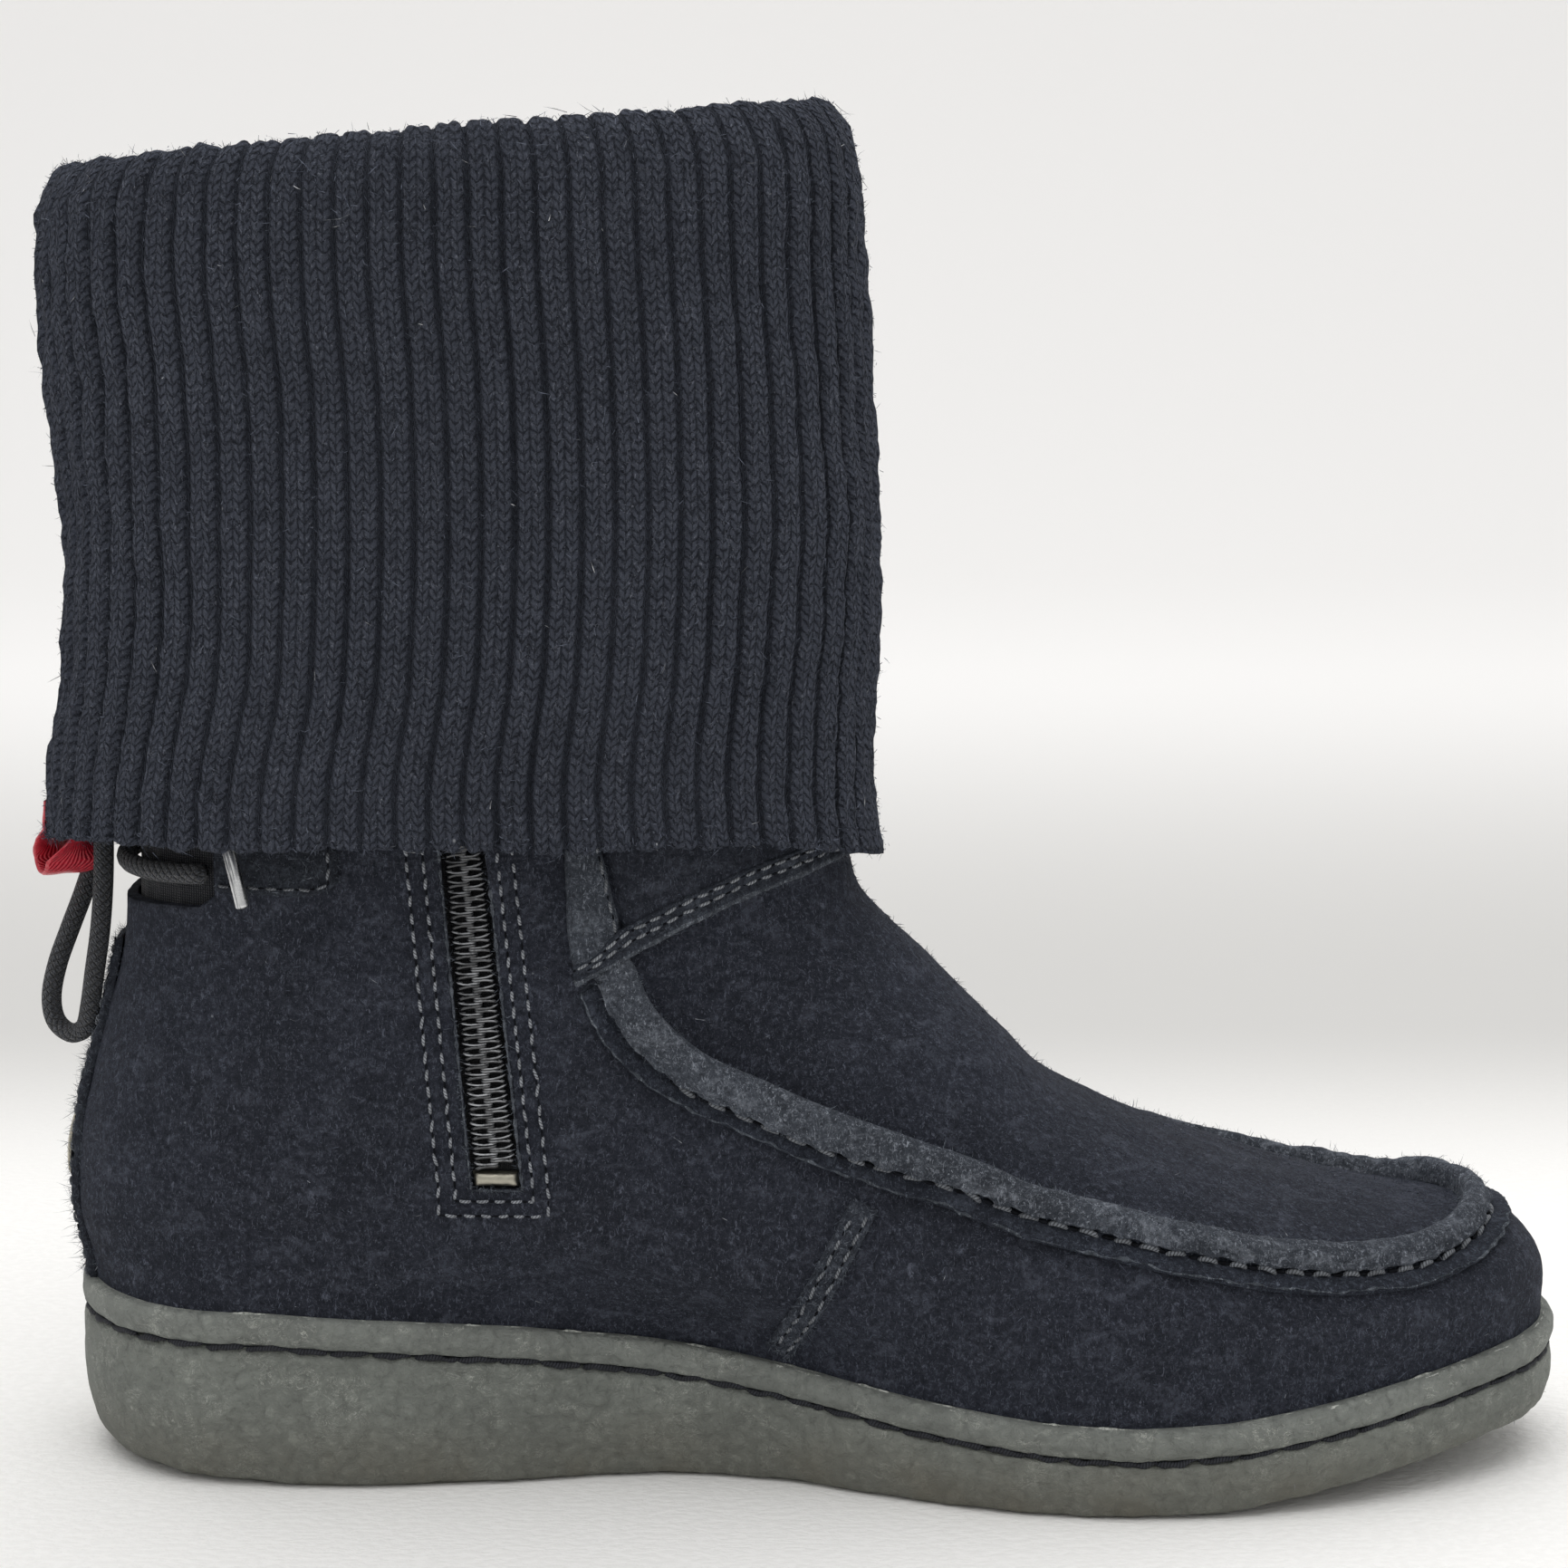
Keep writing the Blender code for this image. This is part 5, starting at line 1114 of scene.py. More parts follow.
def apron_seam():
    """The raised seam of the apron: a rounded ridge, a stitched valley, and a thin flange with a raw edge."""
    row, turn = seam_path(230)
    point, _, _, normal = last_frame(row, turn)
    ahead = np.gradient(point, axis=0)
    ahead /= np.linalg.norm(ahead, axis=1, keepdims=True)
    across = np.cross(ahead, normal)
    lengths = along(point)
    to_end = np.minimum(lengths, lengths[-1] - lengths)
    tucked = 0.42 + 0.58 * np.clip(to_end / 0.0065, 0, 1) ** 0.8
    open_share = np.clip((0.030 - to_end) / 0.012, 0, 1)
    toeward = np.clip((to_end - 0.045) / 0.045, 0, 1)
    narrower = 0.30 * RIDGE_WIDTH * toeward * toeward * (3 - 2 * toeward)
    foot = -0.5 * RIDGE_WIDTH
    valley = foot - 0.0006
    pull = 0.5 - 0.5 * np.cos(2 * math.pi * lengths / SEAM_PITCH)
    profile = [
        (foot - FLANGE_WIDTH, -0.0002),
        (foot - FLANGE_WIDTH - 0.0001, OVERLAY * 0.80),
        (foot - FLANGE_WIDTH + 0.0004, OVERLAY * 1.10),
        (foot - 0.62 * FLANGE_WIDTH, OVERLAY * 0.92),
        (foot - 0.30 * FLANGE_WIDTH, OVERLAY * 0.62),
        (valley + 0.0002, OVERLAY * 0.42),
        (foot + 0.0006, OVERLAY * 0.46),
    ]
    fine = np.linspace(0, len(RIDGE_PROFILE) - 1, 17)
    ridge = smooth(mirrored_ends(np.array(RIDGE_PROFILE), (-1, -1), (-1, -1)), fine)
    profile += [(place * RIDGE_WIDTH, height * RIDGE_HEIGHT) for place, height in ridge]
    profile.append((0.46 * RIDGE_WIDTH, -0.0003))
    first_of_ridge = 7
    rings = []
    for k, (place, height) in enumerate(profile):
        reach = np.clip((0.5 * RIDGE_WIDTH - place) / RIDGE_WIDTH, 0, 1) if place > valley else 1.0
        if place < foot - 0.5 * FLANGE_WIDTH:
            reach = 0.55
        side_row, side_turn = stepped(row, turn, across * (place + narrower * reach)[:, None])
        here = last_point(side_row, side_turn)
        scale = tucked if k >= first_of_ridge - 1 else 0.5 + 0.5 * tucked
        out = GAP + height * scale + 0.00013 * waves(here, 0.006, 20, 2) * (height > 0)
        slide = np.zeros(len(row))
        if k in (1, 2, 3):
            slide = (0.00032 * waves(point, 0.005, 21, 3) - 0.0007 * open_share) * (1.0 if k < 3 else 0.4)
        if k in (4, 5):
            out = out - 0.00016 * pull - 0.00035 * open_share
        if first_of_ridge <= k <= first_of_ridge + 3:
            hang = (-0.00060, -0.00068, -0.00040, -0.0001)[k - first_of_ridge]
            slide = hang + 0.00034 * pull + 0.00026 * waves(here, 0.004, 23, 2)
            out = out + 0.00045 * (k <= first_of_ridge + 1)
        if k > first_of_ridge + 2 and height > 0:
            out = out + 0.00026 * waves(here, 0.010, 24, 3)
        rings.append(on_last(side_row, side_turn, out) + across * slide[:, None])
    rings = np.array(rings).transpose(1, 0, 2)
    flange_look = suede("flange_suede", srgb(46, 50, 60), srgb(92, 98, 110), 1.2)
    flange = rings[:, : first_of_ridge + 1]
    flange_faces = quads_of(len(rings), first_of_ridge + 1, closed_around=False)
    piece("seam_flange", flange, flange_faces, flange_look)
    finish = suede("seam_suede", srgb(82, 87, 96), srgb(158, 164, 174), 1.3, 0.55, 0.04)
    ridge = rings[:, first_of_ridge - 1 :]
    made = piece("raised_seam", ridge, quads_of(len(rings), len(profile) - first_of_ridge + 1, closed_around=False),
                 finish, ["apron_seam"])
    raw_fibres("seam_fibres", made, 0, None, 5200, 0.0009)

    edge_row, edge_turn = stepped(row, turn, across * (foot - FLANGE_WIDTH + 0.0002 + 0.55 * narrower)[:, None])
    rim = on_last(edge_row, edge_turn, GAP + OVERLAY * 1.0 * tucked)
    rim = rim + across * (0.00032 * waves(point, 0.005, 21, 3) - 0.0007 * open_share)[:, None]
    girth = np.clip(0.00016 + 0.00016 * waves(rim, 0.003, 25, 3), 0.00004, 0.00045)
    points, faces, uv = tube(rim, girth, 6)
    edge_look = suede("raw_edge", srgb(86, 92, 100), srgb(140, 147, 156), 1.0, 0.5, 0.0)
    piece("seam_raw_edge", points, faces, edge_look, uv=uv)

    side_row, side_turn = stepped(row, turn, across * (valley + narrower)[:, None])
    stitches = stitch_row(
        side_row,
        side_turn,
        GAP + OVERLAY * 0.62,
        SEAM_PITCH,
        0.0038,
        0.00110,
        keep=lambda at, whole: min(at, whole - at) > 0.027,
    )
    stitched("seam_stitches", [stitches], srgb(122, 126, 132))


SEAM_PITCH = 0.0054


def throat_panel():
    """The panel at the front of the shaft: its hide, and the folded, double-stitched lap along its foot."""
    side = 64.2
    turns = np.linspace(-side, side, 110)
    low = panel_low(turns)
    share = np.linspace(0, 1, 50)[:, None]
    row = low + share * (HIDDEN_TOP_ROW - low)
    strap = np.array(STRAP_EDGES)
    limit = np.interp(row, strap[:, 0], strap[:, 1]) - 0.9
    turn = np.radians(turns / side * limit)
    base, light = srgb(44, 47, 56), srgb(84, 88, 99)
    finish = suede("panel_suede", base, light)
    fine_sheet("panel_hide", row, turn, GAP, GAP + OVERLAY, finish, ["throat_panel"], seed=31)

    turns = np.linspace(-STRAP_CORNER_TURN, STRAP_CORNER_TURN, 240)
    over_strap = np.clip((np.abs(turns) - 61.5) / 3.0, 0, 1)
    over_strap = over_strap * over_strap * (3 - 2 * over_strap)
    taper = np.clip((STRAP_CORNER_TURN + 1.5 - np.abs(turns)) / 8.0, 0.55, 1)
    low = panel_low(turns)
    share = np.linspace(0, 1, 22)
    row = low[None, :] - 0.05 + share[:, None] * LAP_BAND * taper
    turn = np.repeat(np.radians(turns)[None, :], len(share), axis=0)
    seat = GAP + OVERLAY * 0.7 + over_strap * (STRAP_THICKNESS - OVERLAY * 0.7 - 0.0001)
    bead = np.exp(-(((share - 0.16) / 0.14) ** 2))[:, None]
    dip = np.exp(-(((share - 0.42) / 0.05) ** 2))[:, None] + np.exp(-(((share - 0.78) / 0.05) ** 2))[:, None]
    thick = 0.00085 + 0.00055 * bead - 0.00022 * dip
    seat = np.repeat(seat[None, :], len(share), axis=0)
    finish = suede("lap_band_suede", srgb(54, 58, 67), srgb(102, 108, 118), 1.2)
    fine_sheet("panel_lap", row, turn, seat, seat + thick, finish, (), 0.00010, 0.0006, 32)

    rim_row, rim_turn = row[1], turn[1]
    rim = on_last(rim_row, rim_turn, seat[1] + 0.0009)
    girth = np.clip(0.00055 + 0.00012 * waves(rim, 0.004, 26, 3), 0.0002, 0.0008)
    points, faces, uv = tube(rim, girth, 8)
    edge_look = suede("lap_raw_edge", srgb(84, 89, 97), srgb(150, 156, 165), 1.2, 0.6, 0.0)
    made = piece("panel_lap_edge", points, faces, edge_look, uv=uv)
    raw_fibres("panel_lap_fibres", made, 0, None, 900, 0.0007)

    rows = []
    for at in (0.42, 0.78):
        k = int(round(at * (len(share) - 1)))
        rows.append(stitch_row(row[k], turn[k], seat[k] + thick[k], 0.0031, 0.0024, 0.00060, 0.0009 * at))
    stitched("panel_stitches", rows, srgb(146, 150, 156))


def throat_strap(side):
    """The brushed strap between throat panel and quarter, stitched along its front edge."""
    edges = np.array(STRAP_EDGES)
    rows = np.linspace(edges[0, 0], edges[-1, 0], 70)
    front = np.interp(rows, edges[:, 0], edges[:, 1]) - 0.4
    back = np.interp(rows, edges[:, 0], edges[:, 2])
    share = np.linspace(0, 1, 20)
    turn = front[:, None] + share * (back - front)[:, None]
    row = np.repeat(rows[:, None], len(share), axis=1)
    row[:12] += 0.10 * (1 - share) ** 2 * np.linspace(1, 0, 12)[:, None]
    name = "medial" if side < 0 else "lateral"
    finish = suede("strap_suede_" + name, srgb(74, 79, 88), srgb(136, 142, 152), 1.3, 0.62)
    uneven = waves(last_point(row, np.radians(turn)), 0.006, 34, 2)
    puff = 0.00030 * np.sin(math.pi * share)[None, :] + 0.00016 * uneven
    made = fine_sheet("strap_" + name, row, -side * np.radians(turn), GAP, GAP + STRAP_THICKNESS + puff, finish,
                      ["throat_strap_" + name], 0.00014, 0.0010, 33)
    raw_fibres("strap_fibres_" + name, made, 0, 69 * 19, 900, 0.0008)
    line = front + 0.10 * (back - front)
    high = GAP + STRAP_THICKNESS
    stitches = stitch_row(rows, -side * np.radians(line), high, 0.0036, 0.0025, 0.00055)
    stitched("strap_stitches_" + name, [stitches], srgb(128, 132, 138))


def side_lap(side):
    """The quarter's front edge over the vamp, with two rows of stitches."""
    name = "medial" if side < 0 else "lateral"
    last_turn = SIDE_LAP_TURNS[1] - 3
    turns = np.linspace(SIDE_LAP_TURNS[0], last_turn, 60)
    turns = -side * np.radians(turns)
    rows = np.full(turns.shape, SIDE_LAP_ROW)
    point, _, _, normal = last_frame(rows, turns)
    ahead = np.gradient(point, axis=0)
    ahead /= np.linalg.norm(ahead, axis=1, keepdims=True)
    across = np.cross(ahead, normal)
    grid_row, grid_turn = [], []
    for place in np.linspace(-0.5, 0.5, 14):
        r, t = stepped(rows, turns, across * place * LAP_WIDTH)
        grid_row.append(r)
        grid_turn.append(t)
    row, turn = np.array(grid_row).T, np.array(grid_turn).T
    keep = last_point(row, turn)[..., 2].min(axis=1) > sole_top(point[:, 0]) + 0.0002
    row, turn = row[keep], turn[keep]
    finish = suede("lap_suede_" + name, srgb(58, 62, 71), srgb(112, 118, 128), 1.3, 0.65)
    made = fine_sheet("lap_" + name, row, turn, GAP * 0.3, GAP + OVERLAY, finish,
                      ["side_lap_" + name], 0.00016, 0.0008, 35)
    raw_fibres("lap_fibres_" + name, made, 0, (len(row) - 1) * 13, 900, 0.0009)
    rows_of = []
    for column in (3, 9):
        rows_of.append(stitch_row(
            row[:, column], turn[:, column], GAP + OVERLAY, 0.0034, 0.0024, 0.00062, 0.001 * column / 3,
        ))
    stitched("lap_stitches_" + name, rows_of, srgb(130, 134, 140))


def heel_strip():
    """The strip up the heel with its raw, hairy edges."""
    edges = np.array(HEEL_STRIP_EDGES)
    rows = np.linspace(edges[0, 0] + 0.02, edges[-1, 0], 90)
    reach = np.interp(rows, edges[:, 0], edges[:, 1])
    share = np.linspace(-1, 1, 40)
    turn = math.pi - np.radians(reach[:, None] * share)
    row = np.repeat(rows[:, None], len(share), axis=1)
    point = last_point(row, turn)
    lowest = np.argmax(point[..., 2].min(axis=1) > sole_top(0.0) - 0.0015)
    row, turn = row[lowest:], turn[lowest:]
    finish = suede("strip_suede", srgb(47, 50, 58), srgb(82, 87, 96))
    made = fine_sheet("strip_hide", row, turn, GAP * 0.5, 1.4 * GAP + OVERLAY, finish, ["heel_strip"],
                      0.00022, 0.0009, 37)
    raw_fibres("strip_fibres", made, 0, None, 3200, 0.0013)
    stitches = []
    for k in (4, 35):
        stitches.append(stitch_row(row[:, k], turn[:, k], 1.4 * GAP + OVERLAY, 0.0034, 0.0024, 0.00055))
    stitched("strip_stitches", stitches, srgb(112, 116, 122))


def lace_tab(side):
    """The rounded patch beside the heel window, stitched near its edge."""
    across = np.linspace(0, 1, 44)
    up = np.linspace(0, 1, 26)
    x = WINDOW_FRONT + 2 * GAP + across * LACE_TAB_LENGTH
    place = np.repeat(across[None, :], len(up), axis=0)
    rounding = np.sqrt(np.clip(1 - np.clip((place - 0.7) / 0.3, 0, 1) ** 2 * 0.75, 0, 1))
    middle = WINDOW_FOOT + LACE_TAB_RISE + LACE_TAB_HEIGHT / 2
    z = middle + (up[:, None] - 0.5) * LACE_TAB_HEIGHT * rounding
    row, turn = find_on_side(np.repeat(x[None, :], len(up), axis=0), z, side)
    name = "medial" if side < 0 else "lateral"
    finish = suede("tab_suede_" + name, srgb(40, 43, 50), srgb(74, 79, 88))
    made = fine_sheet("tab_" + name, row, turn, GAP, GAP + OVERLAY, finish, ["lace_tab_" + name], seed=39)
    raw_fibres("tab_fibres_" + name, made, 0, None, 700, 0.0008)
    route = np.vstack([np.stack([row[3], turn[3]], -1)[:41], np.stack([row[:, 40], turn[:, 40]], -1)[4:]])
    stitches = stitch_row(route[:, 0], route[:, 1], GAP + OVERLAY, 0.0031, 0.0022, 0.00055)
    stitched("tab_stitches_" + name, [stitches], srgb(126, 130, 136))


def zip_grid(offsets, shares):
    """(row, turn) on the medial side of lines beside the zip: offsets across it, shares along it."""
    x, z = zip_line(np.asarray(shares)[:, None])
    across = np.asarray(offsets)[None, :]
    return find_on_side(x + across, z + 0 * across, -1)


def zip_fastening():
    """Tape, interlocked coil, bottom stop, the slot's raw edges and the rows of stitches beside it."""
    length = math.dist(ZIP_FOOT, ZIP_HEAD)
    top = -(WALL + GAP)
    row, turn = zip_grid(np.linspace(-0.5, 0.5, 24) * ZIP_TAPE_WIDTH, np.linspace(-0.05, 0.985, 90))
    tape = cloth_look("zip_tape_weave", srgb(24, 25, 29), 900)
    fine_sheet(
        "zip_tape_cloth", row, turn, top - ZIP_TAPE_THICKNESS, top, tape, ["zip_tape"], 0.00004, 0.0003,
    )
    first = (GAP * 1.5 + ZIP_STOP_LENGTH + 1.5 * GAP) / length
    last = 0.96 - 0.009 / length
    count = int((last - first) * length / COIL_PITCH)
    shares = np.linspace(first, last, 2 * count + 1)
    middle_row, middle_turn = zip_grid([0.0], shares)
    middle = last_point(middle_row[:, 0], middle_turn[:, 0])
    normal = last_frame(middle_row[:, 0], middle_turn[:, 0])[3]
    ahead = np.gradient(middle, axis=0)
    ahead /= np.linalg.norm(ahead, axis=1, keepdims=True)
    across = np.cross(ahead, normal)
    wide = (ZIP_SLOT_FOOT_WIDTH + (ZIP_SLOT_HEAD_WIDTH - ZIP_SLOT_FOOT_WIDTH) * shares) / 2 - 0.0007
    shape = ((-0.74, 0.05, -0.10), (-1.0, 0.45, -0.22), (-0.84, 0.80, -0.14), (-0.5, 0.92, 0.0), (-0.1, 0.98, 0.0),
             (0.12, 0.92, 0.0), (0.20, 0.40, 0.0))
    parts = []
    for k in range(1, 2 * count):
        hand = 1 if k % 2 else -1
        for twin in (-0.13, 0.13):
            line = [
                middle[k]
                + across[k] * hand * place * wide[k]
                + normal[k] * (top + GAP + height * ZIP_COIL_HEIGHT * 0.80)
                + ahead[k] * ((slip * np.sign(-twin) + twin) * COIL_PITCH + rng.normal(0, 0.00003))
                for place, height, slip in shape
            ]
            line = mirrored_ends(np.array(line), (-1,) * 3, (-1,) * 3)
            line = even(smooth(line, np.linspace(0, 6, 36)), count=10)
            girth = 0.00025 * np.array([0.9, 1.0, 1.0, 1.0, 0.98, 0.95, 0.95, 1.1, 1.25, 1.1])
            parts.append(tube(line, girth, 6))
    coil = joined(parts)
    look = Look("coil_nylon", 0.26, Specular_IOR_Level=0.6, Coat_Weight=0.4)
    # Painted highlight: faces of the coil that turn up towards the lamps are painted pale grey over the dark nylon,
    # broken up by noise.
    facing = look.node("VectorMath", [("operation", "DOT_PRODUCT")])
    look.put(facing.inputs[0], look.node("NewGeometry").outputs["Normal"])
    look.put(facing.inputs[1], (0.0, -0.62, 0.78))
    turned = look.step(facing.outputs["Value"], 0.62, 0.92)
    painted_highlight = look.math("MULTIPLY", turned, look.step(look.noise(420, 3, 0.7), 0.36, 0.58, 0.25, 1.0))
    tone = look.mix(painted_highlight, srgb(24, 25, 28), srgb(168, 170, 174))
    piece("zip_coil_teeth", coil[0], coil[1], look.finish(tone), ["zip_coil"], uv=coil[2])

    offsets = np.linspace(-0.5, 0.5, 17) * (ZIP_SLOT_FOOT_WIDTH - 2.4 * GAP)
    shares = np.linspace(GAP * 1.5, GAP * 1.5 + ZIP_STOP_LENGTH, 13) / length
    row, turn = zip_grid(offsets, shares)
    metal = metal_look("stop_metal", srgb(182, 178, 164), 0.42)
    fine_sheet("zip_stop_bar", row, turn, top + GAP, top + GAP + ZIP_COIL_HEIGHT, metal, ["zip_stop"],
               0.00012, 0.0013)

    rows, edges = [], []
    foot_x, foot_z = ZIP_FOOT
    for inner, outer in zip(ZIP_STITCH_HEELWARD, ZIP_STITCH_TOEWARD):
        shares = np.linspace(0.90, 0.0, 160)
        slot = ZIP_SLOT_FOOT_WIDTH + (ZIP_SLOT_HEAD_WIDTH - ZIP_SLOT_FOOT_WIDTH) * shares
        x, z = zip_line(shares)
        left, right = x - slot / 2 - inner, x + slot / 2 + outer
        low = foot_z - outer
        path_x = np.concatenate([left, np.full(8, left[-1]), np.linspace(left[-1], right[-1], 24), np.full(8, right[-1]),
                                 right[::-1]])
        drop = np.linspace(foot_z, low, 10)[1:-1]
        path_z = np.concatenate([z, drop, np.full(24, low), drop[::-1], z[::-1]])
        row, turn = find_on_side(path_x, path_z, -1)
        rows.append(stitch_row(row, turn, 0.0001, 0.0031, 0.0021, 0.00058, 0.0003))
    for side in (-1, 1):
        shares = np.linspace(0.0, 0.90, 160)
        slot = ZIP_SLOT_FOOT_WIDTH + (ZIP_SLOT_HEAD_WIDTH - ZIP_SLOT_FOOT_WIDTH) * shares
        x, z = zip_line(shares)
        row, turn = find_on_side(x + side * (slot / 2 + 0.0002), z, -1)
        edges.append(on_last(row, turn, np.full(row.shape, -0.00005)))
    x = np.linspace(foot_x - ZIP_SLOT_FOOT_WIDTH / 2, foot_x + ZIP_SLOT_FOOT_WIDTH / 2, 30)
    row, turn = find_on_side(x, np.full(30, foot_z - 0.0002), -1)
    edges.append(on_last(row, turn, np.full(row.shape, -0.00005)))
    stitched("zip_stitches", rows, srgb(156, 160, 167))
    edge_parts = []
    for line in edges:
        girth = np.clip(0.00020 + 0.00016 * waves(line, 0.002, 27, 3), 0.00005, 0.0005)
        edge_parts.append(tube(line, girth, 6))
    points, faces, uv = joined(edge_parts)
    look = suede("zip_raw_edge", srgb(84, 89, 97), srgb(132, 138, 146), 1.0, 0.6, 0.0)
    made = piece("zip_slot_edges", points, faces, look, uv=uv)
    raw_fibres("zip_edge_fibres", made, 0, None, 1100, 0.0009)


COIL_PITCH = 0.00178


def sole_ring(inset, height):
    """One ring round the sole: medial edge heel to toe, then lateral edge back."""
    medial = np.stack([STATIONS[:, 0], -STATIONS[:, 1]], -1)
    lateral = np.stack([STATIONS[:, 0], STATIONS[:, 2]], -1)
    ring = np.vstack([medial, lateral[-2:0:-1]])
    ahead = np.roll(ring, -1, axis=0) - np.roll(ring, 1, axis=0)
    ahead /= np.linalg.norm(ahead, axis=1, keepdims=True)
    inward = np.stack([-ahead[:, 1], ahead[:, 0]], -1)
    ring = ring + inward * np.asarray(inset).reshape(-1, 1)
    return np.column_stack([ring, height(ring[:, 0])])


def cap(ring, across, relief=None):
    """A grid that fills a sole ring, and its quads. relief(points) lifts it."""
    stations = len(STATIONS)
    left = ring[:stations]
    right = np.vstack([ring[0], ring[:stations - 1:-1], ring[stations - 1]])[:stations]
    share = np.linspace(0, 1, across)[None, :, None]
    grid = left[:, None] + (right - left)[:, None] * share
    if relief is not None:
        grid[..., 2] += relief(grid)
    return grid.reshape(-1, 3), quads_of(stations, across, closed_around=False)


def sole_layer(name, levels, finish, node, relief=None, rough=0.00012):
    """A layer of the sole: its side from fine rings, and both caps."""
    rings = np.array([sole_ring(inset, height) for inset, height in levels])
    shake = waves(rings, 0.012, 41, 3) * rough
    normal = grid_normals(rings, closed_around=True)
    middle = len(levels) // 2
    if (normal[middle] * (rings[middle] - rings[middle].mean(axis=0))).sum() < 0:
        normal = -normal
    rings[1:-1] += (normal * shake[..., None])[1:-1]
    count = rings.shape[1]
    zero = np.zeros((1, 2))
    side = (rings.reshape(-1, 3), quads_of(len(levels), count), np.repeat(zero, len(levels) * count, 0))
    low_points, low_faces = cap(rings[0], 46, relief)
    top_points, top_faces = cap(rings[-1], 8)
    parts = [side]
    for points, faces in ((low_points, low_faces[:, ::-1]), (top_points, top_faces)):
        parts.append((points, faces, np.repeat(zero, len(points), 0)))
    points, faces, _ = joined(parts)
    return piece(name, points, faces, finish, [node])


def tread(grid):
    """Shallow wavy grooves across the sole, faded out towards its edge."""
    x, y = grid[..., 0], grid[..., 1]
    wave = np.sin(2 * math.pi * (x + 0.0022 * np.sin(2 * math.pi * y / 0.018)) / 0.0075)
    share = np.linspace(0, 1, grid.shape[1])[None, :]
    inside = np.clip(np.minimum(share, 1 - share) / 0.10, 0, 1)
    ends = np.clip(np.minimum(x - 0.012, 0.262 - x) / 0.006, 0, 1)
    return 0.0011 * np.clip(wave * 2.2 - 0.9, 0, 1) * inside * ends


def sole():
    """Crepe wedge, band above it, and the thread that lies in the groove between them."""
    edge_x = np.concatenate([STATIONS[:, 0], STATIONS[-2:0:-1, 0]])
    heelness = np.clip(1 - edge_x / HEEL_UNDERCUT_REACH, 0, 1)

    def between(share):
        return lambda x: sole_bottom(x) + share * (sole_top(x) - BAND_HEIGHT - GAP - sole_bottom(x))

    def band(share):
        return lambda x: sole_top(x) - BAND_HEIGHT * (1 - share)

    profile = np.array(OUTSOLE_PROFILE)
    fine = smooth(mirrored_ends(profile, (-1,) * 3, (-1,) * 3), np.linspace(0, len(profile) - 1, 26))
    levels = [
        (SOLE_EDGE_ROUND * e + HEEL_UNDERCUT * u * heelness, between(np.clip(s, 0, 1))) for e, u, s in fine
    ]
    crepe = rubber_look("crepe_sole", srgb(131, 135, 129), 0.7)
    sole_layer("crepe_wedge", levels, crepe, "outsole", tread, 0.00016)
    profile = np.array(BAND_PROFILE)
    fine = smooth(mirrored_ends(profile, (-1,) * 2, (-1,) * 2), np.linspace(0, len(profile) - 1, 18))
    levels = [(SOLE_BULGE * inset, band(np.clip(share, 0, 1))) for inset, share in fine]
    band_look = rubber_look("band_sole", srgb(136, 140, 135), 1.0)
    sole_layer("sole_band", levels, band_look, "midsole")

    groove = sole_ring(0.0003, lambda x: sole_top(x) - BAND_HEIGHT - GAP / 2)
    groove = np.vstack([groove, groove[:1]])
    lengths = along(groove)
    parts = []
    at = 0.0
    while at < lengths[-1] - WELT_STITCH:
        size = WELT_STITCH * rng.uniform(0.90, 1.02)
        ends = at + np.linspace(0, 1, 12) * size
        line = np.stack([np.interp(ends, lengths, groove[:, axis]) for axis in range(3)], -1)
        centre = np.stack([*spine(line[:, 0]), line[:, 2]], -1)
        inward = centre - line
        inward /= np.linalg.norm(inward, axis=1, keepdims=True)
        line = line + inward * (0.00045 * np.abs(np.linspace(-1, 1, 12)) ** 3)[:, None]
        line[:, 2] += 0.00022 * waves(line, 0.005, 43, 2) + np.linspace(-0.00016, 0.00016, 12)
        ends_taper = np.array([0.55, 0.85] + [1.0] * 8 + [0.85, 0.55])
        girth = 0.00056 * (1 + 0.25 * waves(line, 0.004, 44, 2)) * ends_taper
        parts.append(tube(line, girth, 8))
        at += WELT_STITCH
    thread = joined(parts)
    look = thread_look("sole_thread_look", srgb(46, 48, 55))
    piece("sole_thread", thread[0], thread[1], look, uv=thread[2])

    scuffed = []
    for inset, share, seed in ((0.0001, 0.93, 45), (0.0010, 0.995, 46)):
        line = sole_ring(inset, band(share))
        line = even(np.vstack([line, line[:1]]), count=900)
        girth = 0.00030 * waves(line, 0.009, seed, 3) + 0.00006 * waves(line, 0.0012, seed + 2, 2)
        girth = np.clip(girth - 0.00004, 0.00001, 0.0004)
        scuffed.append(tube(line, girth, 5))
    points, faces, uv = joined(scuffed)
    look = Look("band_scuffs", 0.9, Specular_IOR_Level=0.2)
    tone = look.mix(look.step(look.noise(900, 3, 0.8), 0.40, 0.60), srgb(120, 124, 118), srgb(186, 188, 182))
    piece("band_scuff_marks", points, faces, look.finish(tone), uv=uv)


# Outsole side, foot to top: inset as a share of the edge round, share of the heel's undercut,
# share of the height
OUTSOLE_PROFILE = (
    (1.00, 1.00, 0.00),
    (0.36, 0.45, 0.06),
    (0.05, 0.14, 0.22),
    (-0.22, 0.02, 0.55),
    (-0.12, 0.00, 0.90),
    (0.08, 0.00, 0.97),
    (0.42, 0.00, 1.00),
)
# Band side, foot to top: inset as a share of the bulge, share of the height
BAND_PROFILE = ((1.5, 0.0), (0.1, 0.10), (-0.9, 0.40), (-0.9, 0.72), (-0.3, 0.94), (0.9, 1.0))
WELT_STITCH = 0.0076


def round_ends(path, reach):
    """Radius along a path as a share: full, and rounded off within reach of each end."""
    lengths = along(path)
    near = np.clip(np.minimum(lengths, lengths[-1] - lengths) / reach, 0, 1)
    return np.sqrt(np.clip(1 - (1 - near) ** 2, 0.0, 1))


